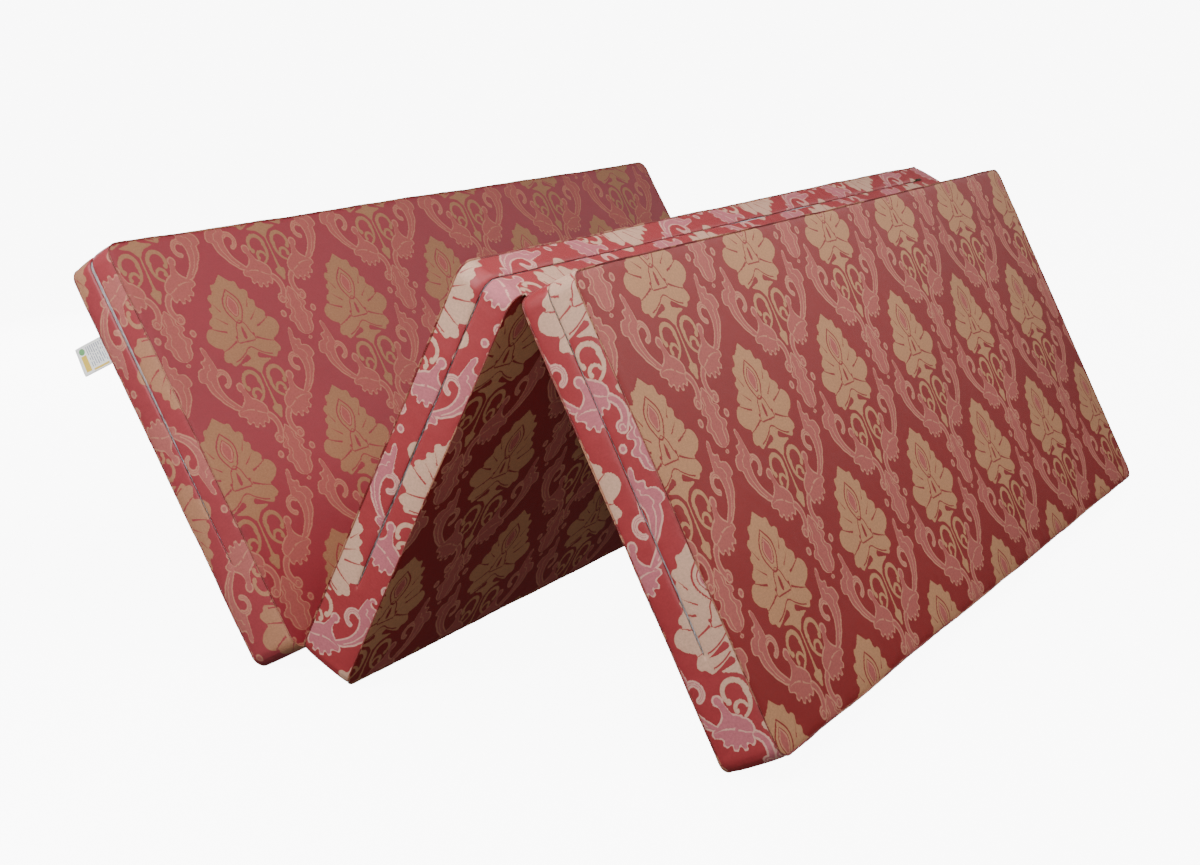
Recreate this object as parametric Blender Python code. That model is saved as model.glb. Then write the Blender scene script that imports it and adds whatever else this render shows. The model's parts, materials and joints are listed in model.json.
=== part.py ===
"""Tri-fold futon mattress: three firm slabs in zipped damask covers, standing on edge in a zigzag.

World frame: +Z up, Y along the fold lines, origin on the floor in the middle of the object.
Every slab is modelled in a frame of its own and hangs on an empty on its fold axis. In a slab's frame
X runs from its low edge (0) to its high edge, Y along its length and Z through its thickness, and the
middle of the low edge is the origin.
"""

from math import asin, atan2, cos, hypot, pi, radians, sin

import bmesh
import bpy
from mathutils import Matrix, Vector

# Driving dimensions, in metres and radians
UNFOLDED_LENGTH = 2.0
SLAB_LENGTH = 1.6
SLAB_THICKNESS = 0.09
FOLD_GAP = 0.008  # between two slabs that lie flat
FOLD_STANDOFF = 0.0015  # from the joined faces out to the fold axis
LEFT_LEAN = radians(60.0)  # from the floor
MIDDLE_LEAN = radians(62.5)
CORNER_RADIUS = 0.022  # seen square to the slab's face
CLOTH = 0.0015
SEAM_ROUND = 0.0012
TOUCH_GAP = 0.0003
CORE_CLEARANCE = 0.001

SLAB_WIDTH = (UNFOLDED_LENGTH - 2 * FOLD_GAP) / 3
CORNER_SEGMENTS = 8
SEAM_SEGMENTS = 3

# Zip: depths run inwards from the border's outer surface, offsets sideways from the middle of its height
SLIT_START = 0.150  # from the low edge, along the near end
SLIT_END = SLAB_LENGTH / 2 - 0.105  # along the high edge
SLIT_HALF = 0.002
TAPE_THICKNESS = 0.0006
TAPE_OVERRUN = 0.008
TAPE_DEPTH = 0.0037
TAPE_RISEN_DEPTH = CLOTH + TOUCH_GAP
TAPE_INNER_EDGE = 0.0034
TAPE_RISE = (0.007, 0.009)  # offsets between which the tape climbs to the border's back
TAPE_OUTER_EDGE = 0.015
COIL_DEPTHS = (0.003, 0.005)
COIL_OFFSETS = (0.0009, 0.0031)
COIL_LEAD = 0.005  # bare tape at the bottom of the zip, where the stop sits
COIL_TAIL = 0.002
STOP_SPAN = (0.0015, 0.0045)
GROOVE_DEPTH = 0.007
GROOVE_HALF = 0.016
GROOVE_OVERRUN = 0.004

# Slider: X points out of the border, Y along the zip, Z across it
SLIDER_HALF_LENGTH = 0.0055
SLIDER_HALF_WIDTH = 0.0046
SLIDER_PLATE = 0.0008
SLIDER_TOP_DEPTH = 0.0018
SLIDER_BASE_DEPTH = 0.0061
FLANGE_WIDTH = 0.001
FLANGE_DROP = 0.0008  # past its plate, towards the tape
POST_HALF_WIDTH = 0.0005
POST_SPAN = (0.0015, 0.0045)
BRIDGE_HALF_LENGTH = 0.0028
BRIDGE_HALF_WIDTH = 0.0009
BRIDGE_HEIGHT = 0.0034
BRIDGE_ROUND = 0.0012
BRIDGE_HOLE = 0.001
SLIDER_FROM_SLIT_END = 0.008

# Pull: it turns on a bar at its own end, through the hole in the slider's bridge
PULL_AXIS_HEIGHT = 0.0016
PULL_LENGTH = 0.024
PULL_HALF_WIDTH = 0.0026
PULL_THICKNESS = 0.0012
PULL_BAR_HALF = 0.0005
PULL_WINDOW_END = 0.0042
PULL_WINDOW_HALF_WIDTH = 0.0013
PULL_ROUND = 0.0015

# Fold webs and label
WEB_RADIUS = 0.0025
WEB_SEGMENTS = 16
LABEL_WIDTH = 0.045
LABEL_REACH = 0.048
LABEL_THICKNESS = 0.0008
LABEL_SETBACK = 0.0005
LABEL_PLACE = 0.8  # of the slab's width, from its low edge

CUTTER_SPARE = 0.01
WELD_DISTANCE = 1e-6
SHARP_ANGLE = radians(40)

NEAR_END = -SLAB_LENGTH / 2
HALF_THICKNESS = SLAB_THICKNESS / 2


def start_empty():
    for item in list(bpy.data.objects):
        bpy.data.objects.remove(item, do_unlink=True)


def new_collection(name):
    collection = bpy.data.collections.new(name)
    bpy.context.scene.collection.children.link(collection)
    return collection


start_empty()
PARTS = new_collection("futon_mattress")
CUTTERS = new_collection("cutters")


def new_material(name, colour, roughness, metallic=0.0):
    material = bpy.data.materials.new(name)
    material.use_nodes = True
    shader = material.node_tree.nodes["Principled BSDF"]
    shader.inputs["Base Color"].default_value = (*colour, 1.0)
    shader.inputs["Roughness"].default_value = roughness
    shader.inputs["Metallic"].default_value = metallic
    return material


# Frames


def new_frame(name, place, lean=0.0, parent=None):
    """An empty on a joint's axis, turned about Y so that its X axis climbs at the lean angle."""
    frame = bpy.data.objects.new(name, None)
    frame.location = place
    frame.rotation_euler.y = -lean
    frame.parent = parent
    PARTS.objects.link(frame)
    return frame


def turned(across, up, lean):
    """World X and Z of a slab-frame offset, for a slab that climbs at the lean angle."""
    return across * cos(lean) - up * sin(lean), across * sin(lean) + up * cos(lean)


# Mesh tools


def finish_mesh(form, name):
    mesh = bpy.data.meshes.new(name)
    bmesh.ops.recalc_face_normals(form, faces=form.faces)
    form.to_mesh(mesh)
    form.free()
    mesh.shade_smooth()
    mesh.set_sharp_from_angle(angle=SHARP_ANGLE)
    return mesh


def rounded_box(name, low, high, radius=0.0, axis=2, rim=0.0, rim_side=1):
    """A box between two corners. Its edges along one axis are rounded, and then the rim at one end of it."""
    size = Vector(high) - Vector(low)
    middle = (Vector(high) + Vector(low)) / 2
    form = bmesh.new()
    place = Matrix.Translation(middle) @ Matrix.Diagonal((*size, 1.0))
    bmesh.ops.create_cube(form, size=1.0, matrix=place)
    if radius:
        along = [e for e in form.edges if abs(e.verts[0].co[axis] - e.verts[1].co[axis]) > size[axis] / 2]
        bmesh.ops.bevel(
            form, geom=along, offset=radius, segments=CORNER_SEGMENTS, profile=0.5, affect="EDGES"
        )
    if rim:
        end = middle[axis] + rim_side * size[axis] / 2
        edges = [e for e in form.edges if all(abs(v.co[axis] - end) < WELD_DISTANCE for v in e.verts)]
        bmesh.ops.bevel(
            form, geom=edges, offset=rim, segments=SEAM_SEGMENTS, profile=0.5, affect="EDGES"
        )
    return finish_mesh(form, name)


def rod(name, radius, length, axis_turn, segments):
    """A cylinder round the origin. It lies along Z, then axis_turn turns it."""
    form = bmesh.new()
    bmesh.ops.create_cone(
        form,
        cap_ends=True,
        segments=segments,
        radius1=radius,
        radius2=radius,
        depth=length,
        matrix=axis_turn,
    )
    return finish_mesh(form, name)


def line_curve(name, points, closed):
    curve = bpy.data.curves.new(name, "CURVE")
    curve.dimensions = "2D"
    curve.fill_mode = "NONE"
    spline = curve.splines.new("POLY")
    spline.points.add(len(points) - 1)
    for point, (x, y) in zip(spline.points, points):
        point.co = (x, y, 0.0, 1.0)
    spline.use_cyclic_u = closed
    curve_object = bpy.data.objects.new(name, curve)
    CUTTERS.objects.link(curve_object)
    return curve_object


def sweep(name, outline, path):
    """The closed outline swept along a path in the slab's plane. The outline's X points out of the slab."""
    section = line_curve(name + "_section", outline, closed=True)
    guide = line_curve(name + "_guide", path, closed=False)
    guide.data.bevel_mode = "OBJECT"
    guide.data.bevel_object = section
    guide.data.use_fill_caps = True
    graph = bpy.context.evaluated_depsgraph_get()
    swept = bpy.data.meshes.new_from_object(guide.evaluated_get(graph))
    form = bmesh.new()
    form.from_mesh(swept)
    bmesh.ops.remove_doubles(form, verts=form.verts, dist=WELD_DISTANCE)
    for item in (guide, section):
        bpy.data.objects.remove(item, do_unlink=True)
    return finish_mesh(form, name)


def add_piece(name, mesh, material, frame, place):
    piece = bpy.data.objects.new(name, mesh)
    piece.parent = frame
    piece.location = place
    mesh.materials.append(material)
    PARTS.objects.link(piece)
    return piece


def combine(piece, mesh, operation):
    """Cuts a mesh out of a piece, or joins it on. The mesh is in the piece's own frame."""
    tool = bpy.data.objects.new(mesh.name, mesh)
    tool.parent = piece.parent
    tool.location = piece.location
    tool.hide_render = True
    tool.display_type = "WIRE"
    CUTTERS.objects.link(tool)
    modifier = piece.modifiers.new(mesh.name, "BOOLEAN")
    modifier.operation = operation
    modifier.solver = "EXACT"
    modifier.object = tool


# The slab and its cover


def slab_outline(inset, bottom, top):
    """Corners of the slab's outline, drawn in by inset, between two heights in its thickness."""
    low = (inset, NEAR_END + inset, bottom)
    high = (SLAB_WIDTH - inset, -NEAR_END - inset, top)
    return low, high


def add_face(name, side, material, frame, place):
    """The top or bottom cloth panel, with its outer rim rounded where it turns into the border."""
    outer = side * HALF_THICKNESS
    inner = side * (HALF_THICKNESS - CLOTH)
    low, high = slab_outline(0.0, min(outer, inner), max(outer, inner))
    mesh = rounded_box(name, low, high, CORNER_RADIUS, rim=SEAM_ROUND, rim_side=side)
    add_piece(name, mesh, material, frame, place)


def add_border(name, material, frame, place):
    """The strip round all four sides, with the zip's slit cut round the near high corner."""
    half_height = HALF_THICKNESS - CLOTH - TOUCH_GAP
    low, high = slab_outline(0.0, -half_height, half_height)
    border = add_piece(name, rounded_box(name, low, high, CORNER_RADIUS), material, frame, place)
    low, high = slab_outline(CLOTH, -HALF_THICKNESS, HALF_THICKNESS)
    combine(border, rounded_box(name + "_inside", low, high, CORNER_RADIUS - CLOTH), "DIFFERENCE")
    past_high_edge = SLAB_WIDTH + CUTTER_SPARE
    past_near_end = NEAR_END - CUTTER_SPARE
    end_slit = rounded_box(
        name + "_end_slit",
        (SLIT_START, past_near_end, -SLIT_HALF),
        (past_high_edge, NEAR_END + CORNER_RADIUS, SLIT_HALF),
    )
    combine(border, end_slit, "DIFFERENCE")
    long_slit = rounded_box(
        name + "_long_slit",
        (SLAB_WIDTH - CORNER_RADIUS, past_near_end, -SLIT_HALF),
        (past_high_edge, SLIT_END, SLIT_HALF),
    )
    combine(border, long_slit, "DIFFERENCE")


def zip_path(before_start, past_end):
    """The zip's line on the border's outer surface: up the near end, round the corner, along the high edge."""
    points = [(SLIT_START - before_start, NEAR_END)]
    for step in range(CORNER_SEGMENTS + 1):
        turn = step / CORNER_SEGMENTS * pi / 2
        across = SLAB_WIDTH - CORNER_RADIUS * (1 - sin(turn))
        along = NEAR_END + CORNER_RADIUS * (1 - cos(turn))
        points.append((across, along))
    points.append((SLAB_WIDTH, SLIT_END + past_end))
    return points


def box_section(depths, offsets):
    """A four-cornered section between two depths and two offsets."""
    near, far = depths
    inner, outer = offsets
    return [(-near, inner), (-near, outer), (-far, outer), (-far, inner)]


def add_core(name, material, frame, place):
    """The firm slab inside, with a groove pressed into its sides by the zip."""
    inset = CLOTH + CORE_CLEARANCE
    low, high = slab_outline(inset, -HALF_THICKNESS + inset, HALF_THICKNESS - inset)
    core = add_piece(name, rounded_box(name, low, high, CORNER_RADIUS - inset), material, frame, place)
    section = box_section((CLOTH, GROOVE_DEPTH), (-GROOVE_HALF, GROOVE_HALF))
    overrun = TAPE_OVERRUN + GROOVE_OVERRUN
    combine(core, sweep(name + "_groove", section, zip_path(overrun, overrun)), "DIFFERENCE")


# The zip


def tape_section(side):
    """Flat beside the coil, then up to the back of the border, where the tape is stitched on."""
    rise_start, rise_end = TAPE_RISE
    upper = [
        (TAPE_DEPTH, TAPE_INNER_EDGE),
        (TAPE_DEPTH, rise_start),
        (TAPE_RISEN_DEPTH, rise_end),
        (TAPE_RISEN_DEPTH, TAPE_OUTER_EDGE),
    ]
    lower = [(depth + TAPE_THICKNESS, offset) for depth, offset in reversed(upper)]
    return [(-depth, side * offset) for depth, offset in upper + lower]


def add_zip(slab, tape_material, coil_material, metal, frame, place):
    for word, side in (("upper", 1), ("lower", -1)):
        name = f"{slab}_zip_tape_{word}"
        mesh = sweep(name, tape_section(side), zip_path(TAPE_OVERRUN, TAPE_OVERRUN))
        add_piece(name, mesh, tape_material, frame, place)
        name = f"{slab}_zip_coil_{word}"
        section = box_section(COIL_DEPTHS, [side * offset for offset in COIL_OFFSETS])
        mesh = sweep(name, section, zip_path(-COIL_LEAD, -COIL_TAIL))
        add_piece(name, mesh, coil_material, frame, place)
    name = f"{slab}_zip_stop"
    stop_start, stop_end = STOP_SPAN
    shallow, deep = COIL_DEPTHS
    half_width = max(COIL_OFFSETS)
    mesh = rounded_box(
        name,
        (SLIT_START + stop_start, NEAR_END + shallow, -half_width),
        (SLIT_START + stop_end, NEAR_END + deep, half_width),
    )
    add_piece(name, mesh, metal, frame, place)


def add_slider(slab, metal, frame, place):
    """Two plates with edges turned towards each other, a post between the coils, and a bridge outside."""
    name = f"{slab}_zip_slider"
    top_under = SLIDER_TOP_DEPTH + SLIDER_PLATE
    base_over = SLIDER_BASE_DEPTH - SLIDER_PLATE
    slider = add_piece(
        name,
        rounded_box(
            name,
            (-top_under, -SLIDER_HALF_LENGTH, -SLIDER_HALF_WIDTH),
            (-SLIDER_TOP_DEPTH, SLIDER_HALF_LENGTH, SLIDER_HALF_WIDTH),
        ),
        metal,
        frame,
        place,
    )
    base = rounded_box(
        name + "_base",
        (-SLIDER_BASE_DEPTH, -SLIDER_HALF_LENGTH, -SLIDER_HALF_WIDTH),
        (-base_over, SLIDER_HALF_LENGTH, SLIDER_HALF_WIDTH),
    )
    post_start, post_end = POST_SPAN
    post = rounded_box(
        name + "_post",
        (-base_over - SLIDER_PLATE / 2, post_start, -POST_HALF_WIDTH),
        (-SLIDER_TOP_DEPTH - SLIDER_PLATE / 2, post_end, POST_HALF_WIDTH),
    )
    combine(slider, post, "UNION")
    combine(slider, base, "UNION")
    for side in (1, -1):
        inner = side * (SLIDER_HALF_WIDTH - FLANGE_WIDTH)
        outer = side * SLIDER_HALF_WIDTH
        flange_ends = (min(inner, outer), max(inner, outer))
        top_flange = rounded_box(
            f"{name}_top_flange_{side}",
            (-top_under - FLANGE_DROP, -SLIDER_HALF_LENGTH, flange_ends[0]),
            (-SLIDER_TOP_DEPTH - SLIDER_PLATE / 2, SLIDER_HALF_LENGTH, flange_ends[1]),
        )
        combine(slider, top_flange, "UNION")
        base_flange = rounded_box(
            f"{name}_base_flange_{side}",
            (-base_over - SLIDER_PLATE / 2, -SLIDER_HALF_LENGTH, flange_ends[0]),
            (-base_over + FLANGE_DROP, SLIDER_HALF_LENGTH, flange_ends[1]),
        )
        combine(slider, base_flange, "UNION")
    bridge = rounded_box(
        name + "_bridge",
        (-SLIDER_TOP_DEPTH - SLIDER_PLATE / 2, -BRIDGE_HALF_LENGTH, -BRIDGE_HALF_WIDTH),
        (BRIDGE_HEIGHT, BRIDGE_HALF_LENGTH, BRIDGE_HALF_WIDTH),
        BRIDGE_ROUND,
    )
    combine(slider, bridge, "UNION")
    hole_turn = Matrix.Translation((PULL_AXIS_HEIGHT, 0.0, 0.0))
    hole = rod(name + "_hole", BRIDGE_HOLE, 4 * BRIDGE_HALF_WIDTH, hole_turn, WEB_SEGMENTS)
    combine(slider, hole, "DIFFERENCE")


def add_pull(slab, metal, frame, place):
    """A flat tab with a window at its end, so that the end bar turns in the slider's bridge."""
    name = f"{slab}_zip_pull"
    half_thickness = PULL_THICKNESS / 2
    mesh = rounded_box(
        name,
        (-half_thickness, -PULL_BAR_HALF, -PULL_HALF_WIDTH),
        (half_thickness, PULL_LENGTH - PULL_BAR_HALF, PULL_HALF_WIDTH),
    )
    pull = add_piece(name, mesh, metal, frame, place)
    window = rounded_box(
        name + "_window",
        (-PULL_THICKNESS, PULL_BAR_HALF, -PULL_WINDOW_HALF_WIDTH),
        (PULL_THICKNESS, PULL_WINDOW_END, PULL_WINDOW_HALF_WIDTH),
    )
    combine(pull, window, "DIFFERENCE")


# The whole mattress


def add_slab(name, frame, place, top_side, looks):
    """One slab with its cover and zip. top_side is +1 if the side that faces up when flat is its +Z side."""
    add_core(f"{name}_core", looks["core"], frame, place)
    add_face(f"{name}_top_face", top_side, looks["damask"], frame, place)
    add_face(f"{name}_bottom_face", -top_side, looks["damask"], frame, place)
    add_border(f"{name}_border", looks["border_damask"], frame, place)
    add_zip(name, looks["zip_tape"], looks["zip_coil"], looks["zip_metal"], frame, place)
    slider_along = SLIT_END - SLIDER_FROM_SLIT_END
    slider_place = Vector(place) + Vector((SLAB_WIDTH, slider_along, 0.0))
    slider_frame = new_frame(f"{name}_slider_frame", slider_place, parent=frame)
    add_slider(name, looks["zip_metal"], slider_frame, (0.0, 0.0, 0.0))
    pull_frame = new_frame(f"{name}_pull_frame", (PULL_AXIS_HEIGHT, 0.0, 0.0), parent=slider_frame)
    add_pull(name, looks["zip_metal"], pull_frame, (0.0, 0.0, 0.0))


def add_web(name, material, frame, place):
    """The strip of doubled cloth that joins two covers along a fold, rolled round the fold axis."""
    length = SLAB_LENGTH - 2 * CORNER_RADIUS
    along_y = Matrix.Rotation(pi / 2, 4, "X")
    add_piece(name, rod(name, WEB_RADIUS, length, along_y, WEB_SEGMENTS), material, frame, place)


def add_label(name, material, frame, place):
    """A care label that stands out of the seam between the near end and the bottom face."""
    middle = LABEL_PLACE * SLAB_WIDTH
    front = NEAR_END + LABEL_SETBACK
    mesh = rounded_box(
        name,
        (middle - LABEL_WIDTH / 2, front, HALF_THICKNESS + TOUCH_GAP),
        (middle + LABEL_WIDTH / 2, front + LABEL_THICKNESS, HALF_THICKNESS + LABEL_REACH),
    )
    add_piece(name, mesh, material, frame, place)


def main():
    looks = {
        "core": new_material("core_fibre", (0.86, 0.84, 0.78), 0.95),
        "damask": new_material("damask", (0.38, 0.06, 0.06), 0.55),
        "border_damask": new_material("border_damask", (0.42, 0.08, 0.08), 0.55),
        "web_damask": new_material("web_damask", (0.36, 0.06, 0.06), 0.6),
        "zip_tape": new_material("zip_tape", (0.8, 0.78, 0.78), 0.85),
        "zip_coil": new_material("zip_coil", (0.75, 0.73, 0.72), 0.5),
        "zip_metal": new_material("zip_metal", (0.2, 0.2, 0.19), 0.35, metallic=1.0),
        "label": new_material("label", (0.85, 0.85, 0.82), 0.7),
    }

    # Where each fold axis lies in the frames of the slabs it joins, as distances across and up
    axis_up = HALF_THICKNESS + FOLD_STANDOFF
    low_axis = -FOLD_GAP / 2
    high_axis = SLAB_WIDTH + FOLD_GAP / 2

    # The left slab stands on its rounded bottom seam, which sets the left axis's height
    across = SEAM_ROUND + FOLD_GAP / 2
    up = SLAB_THICKNESS + FOLD_STANDOFF - SEAM_ROUND
    left_height = SEAM_ROUND - turned(across, up, pi - LEFT_LEAN)[1]
    axis_step = turned(SLAB_WIDTH + FOLD_GAP, -2 * axis_up, MIDDLE_LEAN)
    right_height = left_height + axis_step[1]

    # The right slab reaches from the right axis down to its own rounded seam on the floor
    reach = (SLAB_WIDTH + FOLD_GAP / 2 - SEAM_ROUND, FOLD_STANDOFF + SEAM_ROUND)
    right_lean = atan2(reach[1], reach[0]) + asin((right_height - SEAM_ROUND) / hypot(*reach))

    # The left axis is placed so that the object's outermost points are as far to one side as to the other
    left_tip = turned(SLAB_WIDTH - across + FOLD_GAP, up, pi - LEFT_LEAN)[0] - SEAM_ROUND
    right_tip = axis_step[0] + turned(-reach[0], -up, pi - right_lean)[0] + SEAM_ROUND
    left_axis = (-(left_tip + right_tip) / 2, 0.0, left_height)
    right_axis = (left_axis[0] + axis_step[0], 0.0, right_height)

    left_frame = new_frame("left_slab_frame", left_axis, pi - LEFT_LEAN)
    middle_frame = new_frame("middle_slab_frame", right_axis, MIDDLE_LEAN)
    right_frame = new_frame("right_slab_frame", right_axis, pi - right_lean)

    left_place = (-low_axis, 0.0, axis_up)
    middle_place = (-high_axis, 0.0, axis_up)
    right_place = (-high_axis, 0.0, -axis_up)
    add_slab("left", left_frame, left_place, -1, looks)
    add_slab("middle", middle_frame, middle_place, 1, looks)
    add_slab("right", right_frame, right_place, -1, looks)

    left_web_place = (low_axis - high_axis, 0.0, 2 * axis_up)
    add_web("left_fold_web", looks["web_damask"], middle_frame, left_web_place)
    add_web("right_fold_web", looks["web_damask"], right_frame, (0.0, 0.0, 0.0))
    add_label("care_label", looks["label"], left_frame, left_place)


main()
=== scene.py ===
"""The looks of the tri-fold futon mattress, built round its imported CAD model.

Lengths are in metres, except in the damask's pattern, which is in millimetres of cloth.
"""

import json
import math
from functools import partial, reduce

import bpy
import numpy as np
from mathutils import Matrix


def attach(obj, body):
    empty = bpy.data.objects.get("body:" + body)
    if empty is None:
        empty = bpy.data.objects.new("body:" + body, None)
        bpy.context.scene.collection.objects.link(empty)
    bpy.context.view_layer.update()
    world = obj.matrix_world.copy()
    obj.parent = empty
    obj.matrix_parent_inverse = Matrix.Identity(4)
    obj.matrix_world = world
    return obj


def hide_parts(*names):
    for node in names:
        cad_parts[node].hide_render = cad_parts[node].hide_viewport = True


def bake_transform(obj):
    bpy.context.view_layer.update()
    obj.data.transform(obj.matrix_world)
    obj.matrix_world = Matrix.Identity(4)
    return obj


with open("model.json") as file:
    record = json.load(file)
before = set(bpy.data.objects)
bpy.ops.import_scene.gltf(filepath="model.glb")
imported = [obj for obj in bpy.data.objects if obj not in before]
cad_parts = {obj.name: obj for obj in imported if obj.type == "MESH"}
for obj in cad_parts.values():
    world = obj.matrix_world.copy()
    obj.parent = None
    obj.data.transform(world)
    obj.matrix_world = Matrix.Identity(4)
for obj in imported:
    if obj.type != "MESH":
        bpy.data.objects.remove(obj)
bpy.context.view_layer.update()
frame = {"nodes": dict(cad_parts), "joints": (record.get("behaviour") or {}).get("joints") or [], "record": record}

# ---------------------------------------------------------------- sizes, as part.py has them

SLAB_NAMES = ("left", "middle", "right")
WIDTH = 0.661333
LENGTH = 1.6
CORNER = 0.022
SLIT_START = 0.150
SLIT_END = 0.695

# ---------------------------------------------------------------- the cover's form

SEAM_INSET = 0.0016
SEAM_FADE = 0.0035
FACE_CROWN = 0.0009
CROWN_REACH = 0.080
BORDER_CROWN = 0.0007
BORDER_REACH = 0.030
GRID_STEP = 0.0125
BORDER_ROWS = (0.0406, 0.0360, 0.0290, 0.0205, 0.0120, 0.0055)
CLOTH_THICKNESS = 0.0011
FLOOR_GAP = 0.0002
SEAM_WANDER = 0.0011
WANDER_REACH = 0.12
THICKNESS_WANDER = 0.0006
DIMPLE = 0.00045
DIMPLE_FADE = 0.05
DIMPLE_WAVES = 14
DIMPLE_WAVES_HEIGHT = 5.3
DIMPLE_LENGTHS = (0.12, 0.6)
EDGE_LINES = (0.0045, 0.009, 0.015, CORNER, 0.036)

WELT_HALF = 0.00085
WELT_BASE = 0.0026
WELT_HEIGHT = 0.0021
WELT_RISE = 0.0003
WELT_TILT = 0.16
WELT_PITCH = 0.0008
WELT_CLOTH_START = 0.044
PUCKER_DISTANCE = 0.002
STITCH_PITCH = 0.004
STITCH_LENGTH = 0.0028
STITCH_HALF = 0.00028
STITCH_RISE = 0.0006
STITCH_FLANK = 0.92

SIM_FRAMES = 16
SIM_CAP = 0.0025
CLOTH_HOLD = 0.55
SEAM_HOLD = 0.9

# How far the slit's lips stand from its middle line, in millimetres, against the way along the slit from its
# low end, in metres.
SLIT_OPENINGS = {
    "left": [
        (0.0, 0.5), (0.08, 0.9), (0.18, 1.4), (0.28, 2.2), (0.40, 2.7), (0.50, 3.0), (0.54, 1.9), (0.8, 0.6),
        (1.5, 0.5), (2.1, 1.2),
    ],
    "middle": [
        (0.0, 0.5), (0.05, 1.2), (0.28, 1.2), (0.40, 0.6), (0.54, 1.0), (0.9, 0.6), (1.17, 0.6), (1.26, 2.3),
        (1.33, 0.8), (1.37, 0.7), (1.44, 2.1), (1.52, 0.6), (1.9, 0.5), (2.0, 1.4), (2.1, 1.4),
    ],
    "right": [
        (0.0, 1.2), (0.05, 1.3), (0.2, 0.7), (0.5, 0.5), (1.0, 0.5), (1.9, 0.5), (2.0, 1.2), (2.1, 1.2),
    ],
}

# Where each panel's pattern starts: across the cloth and along it, in millimetres.
FACE_PHASE = {
    "left_top": (-193, 177.0),
    "left_bottom": (40, -60.0),
    "middle_top": (20, -200.0),
    "middle_bottom": (90, -120.0),
    "right_top": (105, 35.0),
    "right_bottom": (60, -90.0),
}
# The same for the borders, where the two strips beside a zip start at places of their own along the cloth.
# The last number is the way that the palmettes point: 1 is up the near end and then back along the high side.
BORDER_PHASE = {
    "left": (71.0, (457.0, 457.0), -1),
    "middle": (-69.0, (-168.0, -131.0), 1),
    "right": (48.0, (-175.0, -195.0), 1),
}

# ---------------------------------------------------------------- the damask's motif
# Shapes of one motif, in millimetres from the middle of the palmette, x to either side and y up.
# An outline is (angle, distance) in degrees clockwise from straight up, or (height, half width).

PALMETTE = [
    (0, 98), (4, 93), (9, 88), (13, 86), (17, 87), (20, 84), (23, 77), (26, 75.5), (30, 78), (34, 77.5),
    (37, 72), (39, 66), (42, 66), (46, 68), (50, 66), (54, 60.5), (58, 61), (64, 65), (69, 66.5),
    (72, 65), (74, 62), (75.5, 62), (77, 67), (80, 73), (84, 77.5), (88, 80), (92, 80.5), (96, 78),
    (101, 73.5), (105, 68), (108, 64), (110.5, 61.5), (113, 62), (116, 67), (119, 72), (122, 74.5),
    (125, 74), (128, 71), (131, 69), (134, 70), (137, 69.5), (140, 65), (144, 58), (149, 50),
    (155, 43), (162, 39), (168, 41), (174, 42), (180, 41),
]
EYE = [
    (0, 27), (12, 23), (35, 19.5), (70, 18.5), (105, 19), (135, 21), (158, 25), (172, 30), (180, 31),
]
BELL = [
    (-17, 17), (-14, 20), (-9, 19), (-3, 15), (3, 13), (9, 11), (14, 7.5), (18, 3), (20, 0),
]
FLEUR = [
    (-13, 0), (-11, 2.5), (-6, 3.5), (0, 3), (5, 2), (9, 0),
]
COLLAR = [
    (0, -26), (6, -28), (13, -33), (22, -38), (31, -42), (42, -45),
]
SPINE = [
    (-254, -0.6), (-250, 5), (-246, 0), (-245, 1), (-243, 9), (-238, 16), (-231, 20), (-225, 20.5),
    (-222, 21), (-218, 26), (-214, 28.5), (-210, 27), (-207, 22), (-203, 18), (-199, 17), (-196, 21),
    (-192, 25), (-188, 23), (-185, 17), (-182, 14), (-177, 15), (-173, 14), (-167, 9), (-160, 3),
    (-156, -0.6), (-150, -0.6), (-146, 3), (-140, 5.5), (-134, 9.5), (-129, 10.5), (-126, 6),
    (-123, 3.5), (-118, 2.5), (-72, 1.5), (-68, 4), (-62, 9), (-58, 14), (-55, 24), (-53, 31),
    (-51.5, 33), (-50, 29), (-48, 20), (-46, 12), (-43, 8.5), (-38, 8.5), (-33, 5), (-29, -0.6),
]
LEAF = [
    (0, 27), (5, 34), (9, 42), (16, 42), (22, 33), (30, 27), (45, 25), (60, 27), (74, 32), (84, 38),
    (90, 39), (97, 35), (104, 29), (110, 28), (118, 32), (126, 32), (133, 26), (139, 25), (147, 30),
    (155, 30), (162, 24), (169, 23), (177, 29), (186, 29), (194, 23), (201, 23), (210, 29), (222, 28),
    (240, 24), (262, 26), (290, 24), (320, 21), (345, 21), (360, 27),
]
HORN_OUTER = [
    (24, 36), (26, 52), (29, 60), (33, 58), (38, 50), (43, 46), (48, 47), (54, 51), (59, 48), (62, 46),
    (67, 50), (74, 57), (80, 59), (86, 60), (91, 58), (94, 52), (97, 50), (112, 51), (131, 50),
    (143, 52), (155, 54), (167, 58), (190, 62),
]
HORN_INNER = [
    (24, 54), (27, 46), (31, 36), (36, 28), (45, 21), (58, 16), (70, 17), (90, 21), (115, 26),
    (138, 32), (155, 38), (169, 44), (190, 60),
]

# An arc's centre, radius, half width, the angles it runs between, and how much it narrows.
# A disc's centre and radius.
GOLD_ARCS = [
    ((28, -81), 17, 3.9, (268, 118), 0.2),
    ((36, -90), 25, 2.0, (203, 290), -0.9),
    ((27, -102), 9, 2.3, (280, 95), -0.3),
]
GOLD_DISCS = [((41.5, -90), 4.4), ((35, -103.5), 3.8)]
ROSE_ARCS = [((37, -158), 24, 6.5, (216, 325)), ((84, -66), 12, 4.6, (190, 38), -0.1)]
ROSE_DISCS = [((56.5, -85), 8.5), ((24, -177), 9.5), ((36.5, -203), 6.5)]
LINE_ARCS = [((24, -178), 4.2, 0.9, (250, 110)), ((84, -66), 12, 0.8, (150, 60))]
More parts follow.
